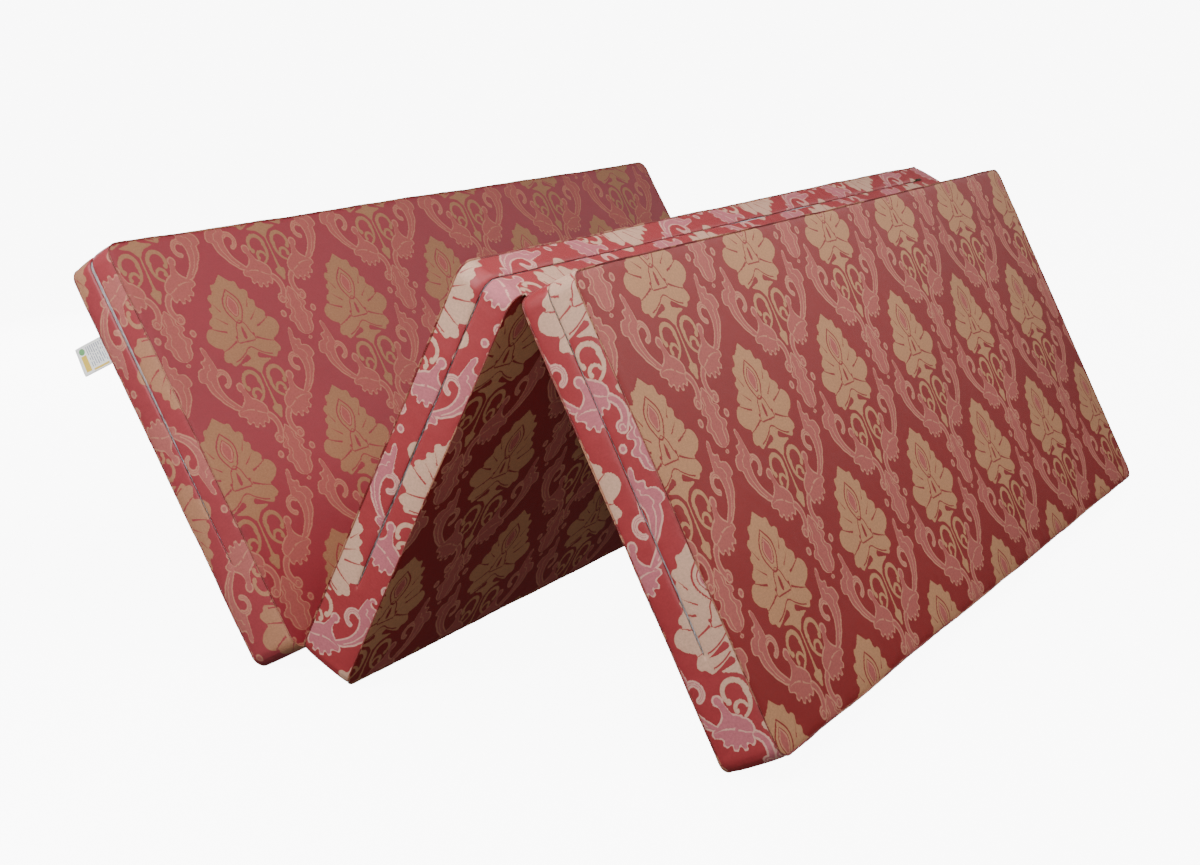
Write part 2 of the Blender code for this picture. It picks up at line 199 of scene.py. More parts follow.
# A vein's angle, its bend, the distances it runs between, and its half width.
PALMETTE_VEINS = [
    (120, -9, (26, 78), 1.7),
    (83, -9, (34, 78), 1.7),
    (58, -2, (30, 56), 1.2),
    (38, -2, (48, 68), 1.1),
]
LEAF_VEINS = [(68, 18, (3, 35), 1.5), (238, 10, (2, 30), 1.4)]

# The pattern repeats every 278 mm across and 434 mm up, with every second column half a repeat lower.
HALF_REPEAT = 139
HALF_DROP = 217
PATTERN_LOW = -300
# Where one column's motif gives way to the next one's: (height, distance from the column's middle).
COLUMN_SPLIT = [
    (0, 14), (20, 4), (32, 6), (44, 9), (60, 21), (72, 30), (86, 42), (95, 55), (110, 61), (130, 62),
    (143, 68), (154, 80), (164, 97), (174, 110), (188, 118), (205, 126), (217, 130),
]


# ---------------------------------------------------------------- arithmetic in a node tree


class Value:
    """A number that a material works out. Python's operators on it add Math nodes."""

    def __init__(self, tree, socket):
        self.tree = tree
        self.socket = socket

    def __add__(self, other):
        return calculate("ADD", self, other)

    def __radd__(self, other):
        return calculate("ADD", self, other)

    def __sub__(self, other):
        return calculate("SUBTRACT", self, other)

    def __rsub__(self, other):
        return calculate("SUBTRACT", other, self)

    def __mul__(self, other):
        return calculate("MULTIPLY", self, other)

    def __rmul__(self, other):
        return calculate("MULTIPLY", self, other)

    def __truediv__(self, other):
        return calculate("DIVIDE", self, other)

    def __neg__(self):
        return calculate("MULTIPLY", self, -1.0)


def feed(socket, value):
    """Gives a socket a number, a colour or another node's output."""
    if isinstance(value, Value):
        value.tree.links.new(value.socket, socket)
    else:
        socket.default_value = value


def calculate(operation, *values):
    tree = next(value.tree for value in values if isinstance(value, Value))
    node = tree.nodes.new("ShaderNodeMath")
    node.operation = operation
    for socket, value in zip(node.inputs, values):
        feed(socket, value)
    return Value(tree, node.outputs[0])


def most(*values):
    return reduce(partial(calculate, "MAXIMUM"), values)


def least(*values):
    return reduce(partial(calculate, "MINIMUM"), values)


def magnitude(value):
    return calculate("ABSOLUTE", value)


def wrapped(value, period):
    return calculate("FLOORED_MODULO", value, period)


def less(value, limit):
    return calculate("LESS_THAN", value, limit)


def clamped(value):
    return least(most(value, 0.0), 1.0)


def choose(first, if_one, if_zero):
    """if_one where first is 1, and if_zero where it is 0."""
    return calculate("MULTIPLY_ADD", first, if_one - if_zero, if_zero)


def distance_of(x, y):
    return calculate("SQRT", calculate("MULTIPLY_ADD", x, x, y * y))


def polar(x, y, centre):
    """Distance from a centre, and degrees clockwise from straight up."""
    across = x - centre[0]
    up = y - centre[1]
    angle = calculate("ARCTAN2", across, up)
    return distance_of(across, up), calculate("DEGREES", angle)


def curve(points, place):
    """The smooth curve through (place, height) points, level beyond its ends."""
    tree = place.tree
    places, heights = zip(*points)
    low, high = places[0], places[-1]
    bottom, top = min(heights), max(heights)
    node = tree.nodes.new("ShaderNodeFloatCurve")
    line = node.mapping.curves[0]
    for _ in range(len(points) - 2):
        line.points.new(0.5, 0.5)
    for point, (x, y) in zip(line.points, sorted(points)):
        point.location = ((x - low) / (high - low), (y - bottom) / (top - bottom))
        point.handle_type = "AUTO_CLAMPED"
    node.mapping.update()
    share = calculate("MULTIPLY_ADD", place, 1 / (high - low), -low / (high - low))
    feed(node.inputs["Value"], clamped(share))
    return calculate("MULTIPLY_ADD", Value(tree, node.outputs[0]), top - bottom, bottom)


# ---------------------------------------------------------------- the motif


def disc(x, y, centre, radius):
    return radius - distance_of(x - centre[0], y - centre[1])


def arc(x, y, centre, radius, half_width, turn, taper=0.0):
    """A stroke along an arc with round ends, narrower at its end by the share taper."""
    start, end = turn
    distance, angle = polar(x, y, centre)
    span = (end - start) % 360
    way = wrapped(angle - start, 360)
    width = half_width - half_width * taper * least(way / span, 1.0)
    stroke = width - magnitude(distance - radius)
    caps = []
    for angle, size in ((start, half_width), (end, half_width * (1 - taper))):
        across = radius * math.sin(math.radians(angle))
        up = radius * math.cos(math.radians(angle))
        caps.append(disc(x, y, (centre[0] + across, centre[1] + up), size))
    return choose(less(way, span), stroke, most(*caps))


def vein(distance, angle, turn, bend, reach, half_width):
    """A line that runs outwards, narrowing to nothing, and turns by bend on its way."""
    near, far = reach
    share = clamped((distance - near) / (far - near))
    across = magnitude(angle - turn - bend * share) * distance * math.radians(1)
    return least(half_width * (1.0 - share) - across, distance - near, far - 1 - distance)


def palmette_shape(x, y):
    distance, angle = polar(x, y, (0, 0))
    edge = curve(PALMETTE, angle) - distance
    eye_distance, eye_angle = polar(x, y, (0, 45))
    eye_edge = curve(EYE, magnitude(eye_angle))
    ring = 1.4 - magnitude(eye_distance - eye_edge)
    drop = 0.66 * eye_edge - eye_distance
    bell = least(1.1 - magnitude(x - curve(BELL, y)), y + 17, 20 - y)
    brim = least(1.1 - magnitude(y + 17), 18 - x)
    fleur = least(curve(FLEUR, y) - x, y + 13, 9 - y)
    collar = least(1.1 - magnitude(y - curve(COLLAR, x)), 42 - x)
    stem = least(0.8 - x, -30 - y, y + 58)
    veins = most(*(vein(distance, angle, *one) for one in PALMETTE_VEINS))
    marks = most(ring, drop, bell, brim, fleur, collar, stem, disc(x, y, (19, -7), 2.6))
    return least(edge, -most(marks, veins)), drop - 1.5


def arcs_and_discs(x, y, arcs, discs=()):
    return most(*(arc(x, y, *one) for one in arcs), *(disc(x, y, *one) for one in discs))


def leaf_shape(x, y):
    """The leaf's inside, and its ribs."""
    distance, angle = polar(x, y, (46, -126))
    angle = wrapped(angle, 360)
    ribs = most(*(vein(distance, angle, *one) for one in LEAF_VEINS))
    return curve(LEAF, angle) - distance, ribs


def horn_shape(x, y):
    """The horn of leaves that holds the palmette: its inside, and its rib."""
    distance, angle = polar(x, y, (72, -62))
    angle = wrapped(angle, 360)
    outer = curve(HORN_OUTER, angle)
    inner = curve(HORN_INNER, angle)
    inside = least(outer - distance, distance - inner, angle - 24, 190 - angle)
    rib = 0.9 - magnitude(distance - 0.52 * (outer + inner))
    return inside, least(rib, angle - 48, 165 - angle)


def motif(x, y):
    """How far inside its edge a point is, for the gold, the rose and the pale lines on it."""
    spine_edge = curve(SPINE, y)
    spine = spine_edge - x
    upper = less(-153.0, y)
    palmette, pupil = palmette_shape(x, y)
    gold = most(palmette, choose(upper, spine, -9.0), arcs_and_discs(x, y, GOLD_ARCS, GOLD_DISCS))
    leaf, leaf_ribs = leaf_shape(x, y)
    horn, horn_rib = horn_shape(x, y)
    stalk = choose(upper, -9.0, spine)
    rose = most(stalk, leaf, horn, pupil, arcs_and_discs(x, y, ROSE_ARCS, ROSE_DISCS))
    stalk_rib = least(1.0 - magnitude(x - 0.5 * spine_edge), -172 - y, y + 240)
    ribs = most(leaf_ribs, horn_rib, stalk_rib, arcs_and_discs(x, y, LINE_ARCS))
    outline = 1.35 - magnitude(rose - 1.6)
    return gold, rose, least(most(outline, ribs), rose)


def folded(u, v):
    """Where a point of the cloth lies in its own motif, across and up."""
    across = magnitude(wrapped(u + HALF_REPEAT, 2 * HALF_REPEAT) - HALF_REPEAT)
    row = calculate("FLOOR", (v - PATTERN_LOW) / HALF_DROP)
    up = v - PATTERN_LOW - row * HALF_DROP
    odd = wrapped(row, 2)
    own = choose(odd, HALF_REPEAT - across, across)
    lower = less(own, curve(COLUMN_SPLIT, up))
    x = choose(lower, own, HALF_REPEAT - own)
    y = up + PATTERN_LOW + (1.0 - lower) * HALF_DROP
    return x, y


# ---------------------------------------------------------------- materials


def linear(red, green, blue):
    """A colour written as 0 to 255 on a screen, as the light that it stands for."""
    channels = [channel / 255 for channel in (red, green, blue)]
    return (*[((c + 0.055) / 1.055) ** 2.4 if c > 0.04 else c / 12.92 for c in channels], 1.0)


SOCKETS = {
    "colour": "Base Color",
    "normal": "Normal",
    "roughness": "Roughness",
    "metallic": "Metallic",
    "specular": "Specular IOR Level",
    "sheen": "Sheen Weight",
    "sheen_roughness": "Sheen Roughness",
    "sheen_tint": "Sheen Tint",
    "subsurface": "Subsurface Weight",
    "glow": "Emission Color",
    "glow_strength": "Emission Strength",
}


def coat(surface, **looks):
    """Gives a surface its colour, its normal and the rest, each a number or another node's output."""
    for name, value in looks.items():
        feed(surface.inputs[SOCKETS[name]], value)


def new_material(name):
    """A material with its tree and its Principled node."""
    material = bpy.data.materials.new(name)
    material.use_nodes = True
    tree = material.node_tree
    surface = next(node for node in tree.nodes if node.type == "BSDF_PRINCIPLED")
    return material, tree, surface


def cloth_place(tree):
    """Where a point is on its flat cloth, in millimetres across and along."""
    uv = tree.nodes.new("ShaderNodeUVMap")
    uv.uv_map = "cloth"
    parts = tree.nodes.new("ShaderNodeSeparateXYZ")
    tree.links.new(uv.outputs[0], parts.inputs[0])
    return Value(tree, parts.outputs[0]) * 1000.0, Value(tree, parts.outputs[1]) * 1000.0


def attribute(tree, name):
    node = tree.nodes.new("ShaderNodeAttribute")
    node.attribute_name = name
    return Value(tree, node.outputs["Fac"])


def noise(u, v, detail=2.0, roughness=0.5, seed=0.0):
    """Smooth noise of two values, about 0 to 1, with features about 1 across."""
    tree = u.tree
    join = tree.nodes.new("ShaderNodeCombineXYZ")
    feed(join.inputs[0], u)
    feed(join.inputs[1], v)
    join.inputs[2].default_value = seed
    node = tree.nodes.new("ShaderNodeTexNoise")
    node.inputs["Scale"].default_value = 1.0
    node.inputs["Detail"].default_value = detail
    node.inputs["Roughness"].default_value = roughness
    tree.links.new(join.outputs[0], node.inputs["Vector"])
    return Value(tree, node.outputs[0])


def mix(share, below, above):
    """The colour below where share is 0, and the colour above where it is 1."""
    tree = share.tree
    node = tree.nodes.new("ShaderNodeMix")
    node.data_type = "RGBA"
    feed(node.inputs[0], share)
    feed(node.inputs[6], below)
    feed(node.inputs[7], above)
    return Value(tree, node.outputs[2])


def scaled(colour, strength):
    """A colour times a number."""
    tree = strength.tree
    node = tree.nodes.new("ShaderNodeVectorMath")
    node.operation = "SCALE"
    feed(node.inputs[0], colour if isinstance(colour, Value) else colour[:3])
    feed(node.inputs["Scale"], strength)
    return Value(tree, node.outputs[0])


def inside(distance, softness=0.9):
    return clamped(distance / softness + 0.5)


def bumped(height, strength, distance=0.001):
    """The normal of a surface whose height is in millimetres."""
    tree = height.tree
    node = tree.nodes.new("ShaderNodeBump")
    node.inputs["Strength"].default_value = strength
    node.inputs["Distance"].default_value = distance
    feed(node.inputs["Height"], height)
    return Value(tree, node.outputs[0])


def wave(value, length):
    """A wave of that length, 0 to 1."""
    return calculate("SINE", value * (2 * math.pi / length)) * 0.5 + 0.5


def puckers(tree):
    """Height in millimetres of the small puckers that a seam's thread pulls up beside it, and how near the seam a
    point is, which the damask also uses to darken the cloth there as painted shade.
    """
    away = attribute(tree, "seam_distance") * 1000.0
    along = attribute(tree, "seam_way") * 1000.0
    fade = calculate("POWER", 2.718, away * (-1 / 7.0))
    return (noise(along / 9.0, away / 30.0, 1.0) - 0.5) * fade, fade


# Each cloth's ground, gold, rose and line. All are the same cloth, with light painted into some:
# the border's palette is paler, painted sheen; the welt's is darker, painted shade along the seams' edges;
# and the left slab's are pinker and lower in contrast, painted sheen and shade that fall on that slab.
PALETTES = {
    "face": [(150, 34, 33), (190, 137, 98), (176, 92, 84), (198, 134, 108)],
    "border": [(160, 54, 58), (196, 156, 132), (176, 98, 106), (202, 154, 138)],
    "welt": [(118, 30, 28), (164, 112, 84), (136, 62, 56), (164, 112, 84)],
    "left_face": [(142, 33, 45), (146, 100, 68), (150, 72, 66), (164, 102, 80)],
    "left_border": [(166, 66, 72), (174, 122, 92), (170, 94, 88), (186, 126, 104)],
}
PALETTES["left_welt"] = PALETTES["welt"]


def motif_group():
    """The motif as a node group, from a place on the cloth to the depths inside its three colours."""
    tree = bpy.data.node_groups.new("damask_motif", "ShaderNodeTree")
    for name in ("across", "along"):
        tree.interface.new_socket(name, in_out="INPUT", socket_type="NodeSocketFloat")
    for name in ("gold", "rose", "lines"):
        tree.interface.new_socket(name, in_out="OUTPUT", socket_type="NodeSocketFloat")
    start = tree.nodes.new("NodeGroupInput")
    end = tree.nodes.new("NodeGroupOutput")
    u, v = (Value(tree, output) for output in start.outputs[:2])
    for socket, value in zip(end.inputs, motif(*folded(u, v))):
        feed(socket, value)
    return tree


def motif_depths(u, v):
    node = u.tree.nodes.new("ShaderNodeGroup")
    node.node_tree = MOTIF
    feed(node.inputs[0], u)
    feed(node.inputs[1], v)
    return [Value(u.tree, output) for output in node.outputs]


MOTIF = motif_group()


def damask(name, palette):
    """Jacquard cloth: a satin ground with a woven gold and rose motif."""
    material, tree, surface = new_material(name)
    u, v = cloth_place(tree)
    drift = noise(u / 160.0, v / 160.0, 1.0) - 0.5
    grain = noise(u / 4.2, v / 3.4, 3.0, 0.75, 11.0)
    ragged = (grain - 0.5) * 4.0
    gold, rose, lines = motif_depths(u + drift * 4.0 + ragged, v + drift * 3.0 - ragged)
    gold_share = inside(gold)
    rose_share = inside(rose)
    line_share = inside(lines)
    figure = most(gold_share, rose_share)

    slub = noise(u / 26.0, v / 0.55, 2.0, 0.6)
    thread = noise(u / 0.7, v / 9.0, 1.0, 0.5, 3.0)
    patch = noise(u / 240.0, v / 240.0, 2.0, 0.5, 7.0)
    height, painted_seam_shade = puckers(tree)
    ground_colour, gold_colour, rose_colour, line_colour = (linear(*colour) for colour in palette)
    colour = mix(rose_share, ground_colour, rose_colour)
    colour = mix(line_share, colour, line_colour)
    colour = mix(gold_share, colour, gold_colour)
    strength = 0.34 + 0.28 * slub + 0.20 * thread + 0.24 * patch + grain * (0.46 + 0.28 * figure)

    twill = wave(u + v, 1.3) * figure + wave(v, 0.6) * (1.0 - figure)
    surface_height = height * 0.55 + twill * 0.05 + wave(u, 0.55) * 0.02 + slub * 0.05
    coat(
        surface,
        # The colour is darkened beside each seam: painted shade in the seam's crease.
        colour=scaled(colour, strength - 0.06 * painted_seam_shade),
        normal=bumped(surface_height, 0.9),
        roughness=0.44 + 0.16 * figure + 0.12 * slub,
        specular=0.5,
        sheen=0.12,
        sheen_roughness=0.35,
        sheen_tint=linear(255, 165, 165),
    )
    return material


def solid_place(tree):
    """A point's place in its piece, in millimetres, for pieces that have no cloth map."""
    node = tree.nodes.new("ShaderNodeTexCoord")
    parts = tree.nodes.new("ShaderNodeSeparateXYZ")
    tree.links.new(node.outputs["Object"], parts.inputs[0])
    return [Value(tree, output) * 1000.0 for output in parts.outputs]


def tape_material(name):
    """Herringbone zip tape, for the CAD's own tapes."""
    material, tree, surface = new_material(name)
    x, y, z = solid_place(tree)
    across = distance_of(x, z)
    rib = wave(across + wave(y, 2.4) * 0.6, 0.8)
    cloud = noise(across / 12.0, y / 12.0, 2.0)
    colour = scaled(linear(236, 232, 240), 0.75 + 0.2 * rib + 0.15 * cloud)
    coat(surface, colour=colour, normal=bumped(rib * 0.15, 0.8), roughness=0.7, sheen=0.25)
    return material


def coil_material(name):
    """Polyester coil, slightly clear and glossy."""
    material, tree, surface = new_material(name)
    x, y, z = solid_place(tree)
    cloud = noise((x + z) / 5.0, y / 5.0, 2.0)
    colour = scaled(linear(240, 236, 242), 0.82 + 0.2 * cloud)
    coat(surface, colour=colour, roughness=0.28 + 0.15 * cloud, subsurface=0.1)
    return material


def metal_material(name):
    """Zinc zip hardware with a dark, slightly green lacquer, worn brighter in patches."""
    material, tree, surface = new_material(name)
    x, y, z = solid_place(tree)
    wear = noise((x + z) / 1.6, y / 1.6, 4.0, 0.6)
    patina = noise((x - z) / 4.0, y / 4.0, 3.0, 0.5, 5.0)
    colour = mix(clamped((wear - 0.55) * 6.0), linear(84, 90, 70), linear(168, 164, 148))
    colour = scaled(colour, 0.8 + 0.35 * patina)
    roughness = 0.30 + 0.25 * patina
    coat(surface, colour=colour, roughness=roughness, normal=bumped(wear * 0.03, 0.6), metallic=0.85)
    return material


def filling_material(name):
    """Pressed polyester fibre."""
    material, tree, surface = new_material(name)
    x, y, z = solid_place(tree)
    strands = noise(x / 1.2 + z, y / 7.0, 4.0, 0.65)
    cloud = noise(x / 60.0, y / 60.0, 3.0, 0.5, 2.0)
    colour = scaled(linear(226, 222, 212), 0.7 + 0.25 * strands + 0.2 * cloud)
    coat(surface, colour=colour, normal=bumped(strands * 0.5, 0.7), roughness=0.9, sheen=0.2)
    return material


def thread_material(name, colour):
    """Twisted sewing thread."""
    material, tree, surface = new_material(name)
    u, v = cloth_place(tree)
    twist = wave(u * 0.8 + v, 0.5)
    colour = scaled(colour, 0.75 + 0.3 * twist)
    coat(surface, colour=colour, normal=bumped(twist * 0.08, 0.8), roughness=0.55, sheen=0.2)
    return material


def band(value, low, high):
    """1 between low and high."""
    return less(low, value) * less(value, high)


def label_material(name):
    """A white satin care label with a plain yellow bar, a green mark and grey dashes for its text."""
    material, tree, surface = new_material(name)
    u, v = cloth_place(tree)
    word = less(0.42, noise(u / 3.1, calculate("FLOOR", v / 3.6) * 7.3, 0.0))
    row = less(wrapped(v, 3.6), 1.5)
    text_rows = band(v, 4.0, 30.0)
    text = word * row * band(u, 9.0, 41.0) * text_rows
    yellow = band(u, 5.0, 30.0) * band(v, 33.5, 42.5)
    green = inside(5.0 - distance_of(u - 36.5, v - 38.0), 0.6)
    stripe = band(u, 3.0, 6.0) * text_rows
    weave = wave(u, 0.5) * wave(v, 0.45)
    colour = mix(text, linear(252, 252, 250), linear(150, 154, 172))
    colour = mix(most(yellow, stripe), colour, linear(232, 196, 60))
    colour = mix(green, colour, linear(104, 168, 104))
    colour = scaled(colour, 0.88 + 0.14 * weave)
    coat(surface, colour=colour, normal=bumped(weave * 0.06, 0.7), roughness=0.5, sheen=0.15)
    return material


# ---------------------------------------------------------------- the slabs' places


def unit(vectors):
    """One vector, or each row of several, at length 1."""
    return vectors / np.linalg.norm(vectors, axis=-1, keepdims=True)


class Slab:
    """One slab's own frame: X from its low edge up, Y along it, Z through it."""

    def __init__(self, name):
        self.name = name
        mounts = {mount["name"]: mount for mount in frame["record"]["mounts"]}
        sides = {"bottom": mounts[name + "_underside"], "top": mounts[name + "_sleeping_face"]}
        self.plus = min(sides, key=lambda side: sides[side]["axis"][0])
        self.minus = "top" if self.plus == "bottom" else "bottom"
        places = [np.array(side["pos_m"], float) for side in sides.values()]
        self.centre = (places[0] + places[1]) / 2
        self.half = float(np.linalg.norm(places[0] - places[1])) / 2
        z = unit(np.array(sides[self.plus]["axis"], float))
        y = np.array([0.0, 1.0, 0.0])
        self.axes = np.array([np.cross(y, z), y, z])
        self.seed = SLAB_NAMES.index(name) * 10
        self.body = name + "_slab"

    def world(self, points):
        points = np.asarray(points, float) - (WIDTH / 2, 0, 0)
        return self.centre + points @ self.axes


def spaced(breaks, step):
    """Places from the first break to the last, through each one, at most step apart."""
    found = [breaks[0]]
    for low, high in zip(breaks, breaks[1:]):
        count = max(1, math.ceil((high - low) / step - 1e-6))
        found += [low + (high - low) * (i + 1) / count for i in range(count)]
    return np.array(found)


def grid_lines(size, shift, stops):
    """The cover's grid lines across one side, closer together near its seams."""
    ends = [SEAM_INSET, *EDGE_LINES]
    breaks = ends + [stop - shift for stop in stops] + [size - end for end in reversed(ends)]
    return spaced(breaks, GRID_STEP) + shift


X_LINES = grid_lines(WIDTH, 0.0, [SLIT_START])
Y_LINES = grid_lines(LENGTH, -LENGTH / 2, [SLIT_END])
COUNT_X = len(X_LINES)
COUNT_Y = len(Y_LINES)


def rounded_plan(x, y):
    """Moves the points of the four corner squares so that the outline's corners are round."""
    radius = CORNER - SEAM_INSET
    a = np.clip((np.abs(x - WIDTH / 2) - (WIDTH / 2 - CORNER)) / radius, 0, 1)
    b = np.clip((np.abs(y) - (LENGTH / 2 - CORNER)) / radius, 0, 1)
    new_x = x + np.sign(x - WIDTH / 2) * radius * a * (np.sqrt(1 - b * b / 2) - 1)
    new_y = y + np.sign(y) * radius * b * (np.sqrt(1 - a * a / 2) - 1)
    return new_x, new_y


def edge_distance(x, y):
    """How far inside the slab's rounded outline a point is."""
    across = np.abs(x - WIDTH / 2) - (WIDTH / 2 - CORNER)
    along = np.abs(y) - (LENGTH / 2 - CORNER)
    outside = np.hypot(np.maximum(across, 0), np.maximum(along, 0))
    return CORNER - outside - np.minimum(np.maximum(across, along), 0)


def edge_loop():
    """Grid places round the outline: from the low side's middle, past the near end and the high side."""
    near = [(i, 0) for i in range(COUNT_X)]
    high = [(COUNT_X - 1, j) for j in range(1, COUNT_Y)]
    far = [(i, COUNT_Y - 1) for i in range(COUNT_X - 2, -1, -1)]
    low = [(0, j) for j in range(COUNT_Y - 2, 0, -1)]
    half = len(low) // 2
    return low[half:] + near + high + far + low[:half]


PLAN_X, PLAN_Y = rounded_plan(*np.meshgrid(X_LINES, Y_LINES, indexing="ij"))
LOOP = edge_loop()
COUNT_LOOP = len(LOOP)


def loop_plan():
    """The outline's points in plan, its outward directions, and the way along it from the low near corner."""
    points = np.array([(PLAN_X[i, j], PLAN_Y[i, j]) for i, j in LOOP])
    tangent = np.roll(points, -1, 0) - np.roll(points, 1, 0)
    outward = unit(np.stack([tangent[:, 1], -tangent[:, 0]], 1))
    steps = np.linalg.norm(np.roll(points, -1, 0) - points, axis=1)
    way = np.concatenate([[0.0], np.cumsum(steps)])
    return points, outward, way - way[LOOP.index((0, 0))]


LOOP_POINTS, LOOP_OUT, LOOP_WAY = loop_plan()


def wander(way, total, seed, slowest=3, fastest=36):
    """A smooth closed curve of way that wanders between about -1 and 1."""
    rng = np.random.default_rng(seed)
    turns = 2 * np.pi * np.asarray(way) / total
    height = np.zeros_like(turns)
    power = 0.0
    for harmonic in range(slowest, fastest):
        weight = harmonic**-0.7 * rng.uniform(0.4, 1.0)
        height += weight * np.cos(harmonic * turns + rng.uniform(0, 2 * np.pi))
        power += weight**2 / 2
    return height / (2 * math.sqrt(power))


def rolling(x, y, seed):
    """Soft dimples over a face, about -1 to 1."""
    rng = np.random.default_rng(seed)
    height = np.zeros_like(x)
    for _ in range(DIMPLE_WAVES):
        length = rng.uniform(*DIMPLE_LENGTHS)
        turn = rng.uniform(0, np.pi)
        along = x * math.cos(turn) + y * math.sin(turn)
        height += np.cos(2 * np.pi * along / length + rng.uniform(0, 2 * np.pi))
    return height / DIMPLE_WAVES_HEIGHT


def eased(share):
    share = np.clip(share, 0, 1)
    return share * share * (3 - 2 * share)


# ---------------------------------------------------------------- the covers


class Cover:
    """One slab's cover as a closed form: two face grids with a border strip between their outlines."""

    def __init__(self, slab):
        self.slab = slab
        self.rows = [*BORDER_ROWS, 0.0, *(-row for row in reversed(BORDER_ROWS))]
        self.index_parts()
        self.faces = self.build_faces()
        self.points = self.first_points()

    def index_parts(self):
        face = COUNT_X * COUNT_Y
        self.plus = np.arange(face).reshape(COUNT_X, COUNT_Y)
        self.minus = self.plus + face
        inner = 2 * face + np.arange(COUNT_LOOP * len(self.rows)).reshape(COUNT_LOOP, len(self.rows))
        high = np.array([self.plus[place] for place in LOOP])[:, None]
        low = np.array([self.minus[place] for place in LOOP])[:, None]
        self.border = np.concatenate([high, inner, low], 1)

    def build_faces(self):
        faces = grid_faces(self.plus) + [face[::-1] for face in grid_faces(self.minus)]
        ring = np.concatenate([self.border, self.border[:1]], 0)
        return faces + [face[::-1] for face in grid_faces(ring)]

    def first_points(self):
        slab, seed = self.slab, self.slab.seed
        total = LOOP_WAY[-1] - LOOP_WAY[0]
        away = edge_distance(PLAN_X, PLAN_Y)
        rise = FACE_CROWN * eased(away / CROWN_REACH) - SEAM_INSET * np.exp(-(away - SEAM_INSET) / SEAM_FADE)
        fade = eased(away / DIMPLE_FADE)
        sides = []
        for sign, extra in ((1, 1), (-1, 2)):
            dimples = DIMPLE * rolling(PLAN_X, PLAN_Y, seed + extra) * fade
            sides.append(np.stack([PLAN_X, PLAN_Y, sign * (slab.half + rise + dimples)], -1))
        shift = wander(LOOP_WAY[:-1], total, seed + 3) * SEAM_WANDER
        lean = wander(LOOP_WAY[:-1], total, seed + 4, 2, 20) * THICKNESS_WANDER
        inner = []
        for row in self.rows:
            deep = slab.half - SEAM_INSET - abs(row)
            bulge = SEAM_INSET * (1 - math.exp(-deep / SEAM_FADE)) + BORDER_CROWN * eased(deep / BORDER_REACH)
            flat = LOOP_POINTS + LOOP_OUT * bulge
            inner.append(np.concatenate([flat, np.full((COUNT_LOOP, 1), row)], 1))
        inner = np.stack(inner, 1)
        points = np.concatenate([sides[0].reshape(-1, 3), sides[1].reshape(-1, 3), inner.reshape(-1, 3)])
        return wavered(points, shift, lean)

    def seam_places(self):
        return np.unique(self.border[:, [0, -1]])


def wavered(points, shift, lean):
    """Lets the seams wander a little, and carries the cloth beside them along."""
    nearest = nearest_loop_place(points[:, :2])
    away = edge_distance(points[:, 0], points[:, 1])
    share = 1 - eased(away / WANDER_REACH)
    points = points.copy()
    points[:, :2] += LOOP_OUT[nearest] * (shift[nearest] * share)[:, None]
    points[:, 2] += lean[nearest] * share
    return points


POINTS_AT_ONCE = 4000


def nearest_loop_place(plan):
    """The outline place nearest to each point."""
    found = np.empty(len(plan), int)
    for start in range(0, len(plan), POINTS_AT_ONCE):
        part = plan[start : start + POINTS_AT_ONCE]
        gap = (part[:, None, 0] - LOOP_POINTS[None, :, 0]) ** 2
        gap += (part[:, None, 1] - LOOP_POINTS[None, :, 1]) ** 2
        found[start : start + POINTS_AT_ONCE] = np.argmin(gap, 1)
    return found


def grid_faces(index):
    """Quads between neighbouring places of a grid of point numbers."""
    quads = np.stack([index[:-1, :-1], index[1:, :-1], index[1:, 1:], index[:-1, 1:]], -1)
    return [tuple(quad) for quad in quads.reshape(-1, 4).tolist()]


def add_object(name, data):
    obj = bpy.data.objects.new(name, data)
    bpy.context.scene.collection.objects.link(obj)
    return obj


def settle(covers):
    """Lets Blender's cloth draw each cover tight over its filling, and caps how far it moves."""
    made = []
    for cover in covers:
        mesh = bpy.data.meshes.new("settling")
        mesh.from_pydata(cover.points.tolist(), [], cover.faces)
        obj = add_object("settling", mesh)
        everything = list(range(len(cover.points)))
        seams = cover.seam_places().tolist()
        hold = obj.vertex_groups.new(name="hold")
        hold.add(everything, CLOTH_HOLD, "REPLACE")
        hold.add(seams, SEAM_HOLD, "REPLACE")
        gather = obj.vertex_groups.new(name="gather")
        gather.add(everything, 0.0, "REPLACE")
        gather.add(seams, 1.0, "REPLACE")
        set_cloth(obj)
        made.append(obj)
    for step in range(1, SIM_FRAMES + 1):
        bpy.context.scene.frame_set(step)
    graph = bpy.context.evaluated_depsgraph_get()
    for cover, obj in zip(covers, made):
        cover.points = capped(cover.points, read_points(obj.evaluated_get(graph).data))
        bpy.data.objects.remove(obj)
    bpy.context.scene.frame_set(1)


CLOTH_SETTINGS = {
    "quality": 6,
    "mass": 0.3,
    "tension_stiffness": 12,
    "compression_stiffness": 12,
    "shear_stiffness": 6,
    "bending_stiffness": 0.4,
    "vertex_group_mass": "hold",
    "pin_stiffness": 1.0,
    "vertex_group_shrink": "gather",
    "shrink_min": -0.006,
    "shrink_max": 0.02,
    "use_pressure": True,
    "uniform_pressure_force": 0.6,
}


def set_cloth(obj):
    cloth = obj.modifiers.new("Cloth", "CLOTH")
    cloth.settings.effector_weights.gravity = 0
    for name, value in CLOTH_SETTINGS.items():
        setattr(cloth.settings, name, value)
    cloth.collision_settings.use_collision = False
    cloth.point_cache.frame_start = 1
    cloth.point_cache.frame_end = SIM_FRAMES


def read_points(mesh):
    points = np.empty(len(mesh.vertices) * 3, np.float32)
    mesh.vertices.foreach_get("co", points)
    return points.reshape(-1, 3).astype(float)


def capped(before, after):
    move = after - before
    far = np.linalg.norm(move, axis=1)
    print("cloth moved", round(float(far.max()) * 1000, 2), "mm, mean", round(float(far.mean()) * 1000, 3))
    return before + move * np.minimum(1, SIM_CAP / np.maximum(far, 1e-9))[:, None]


# ---------------------------------------------------------------- pieces


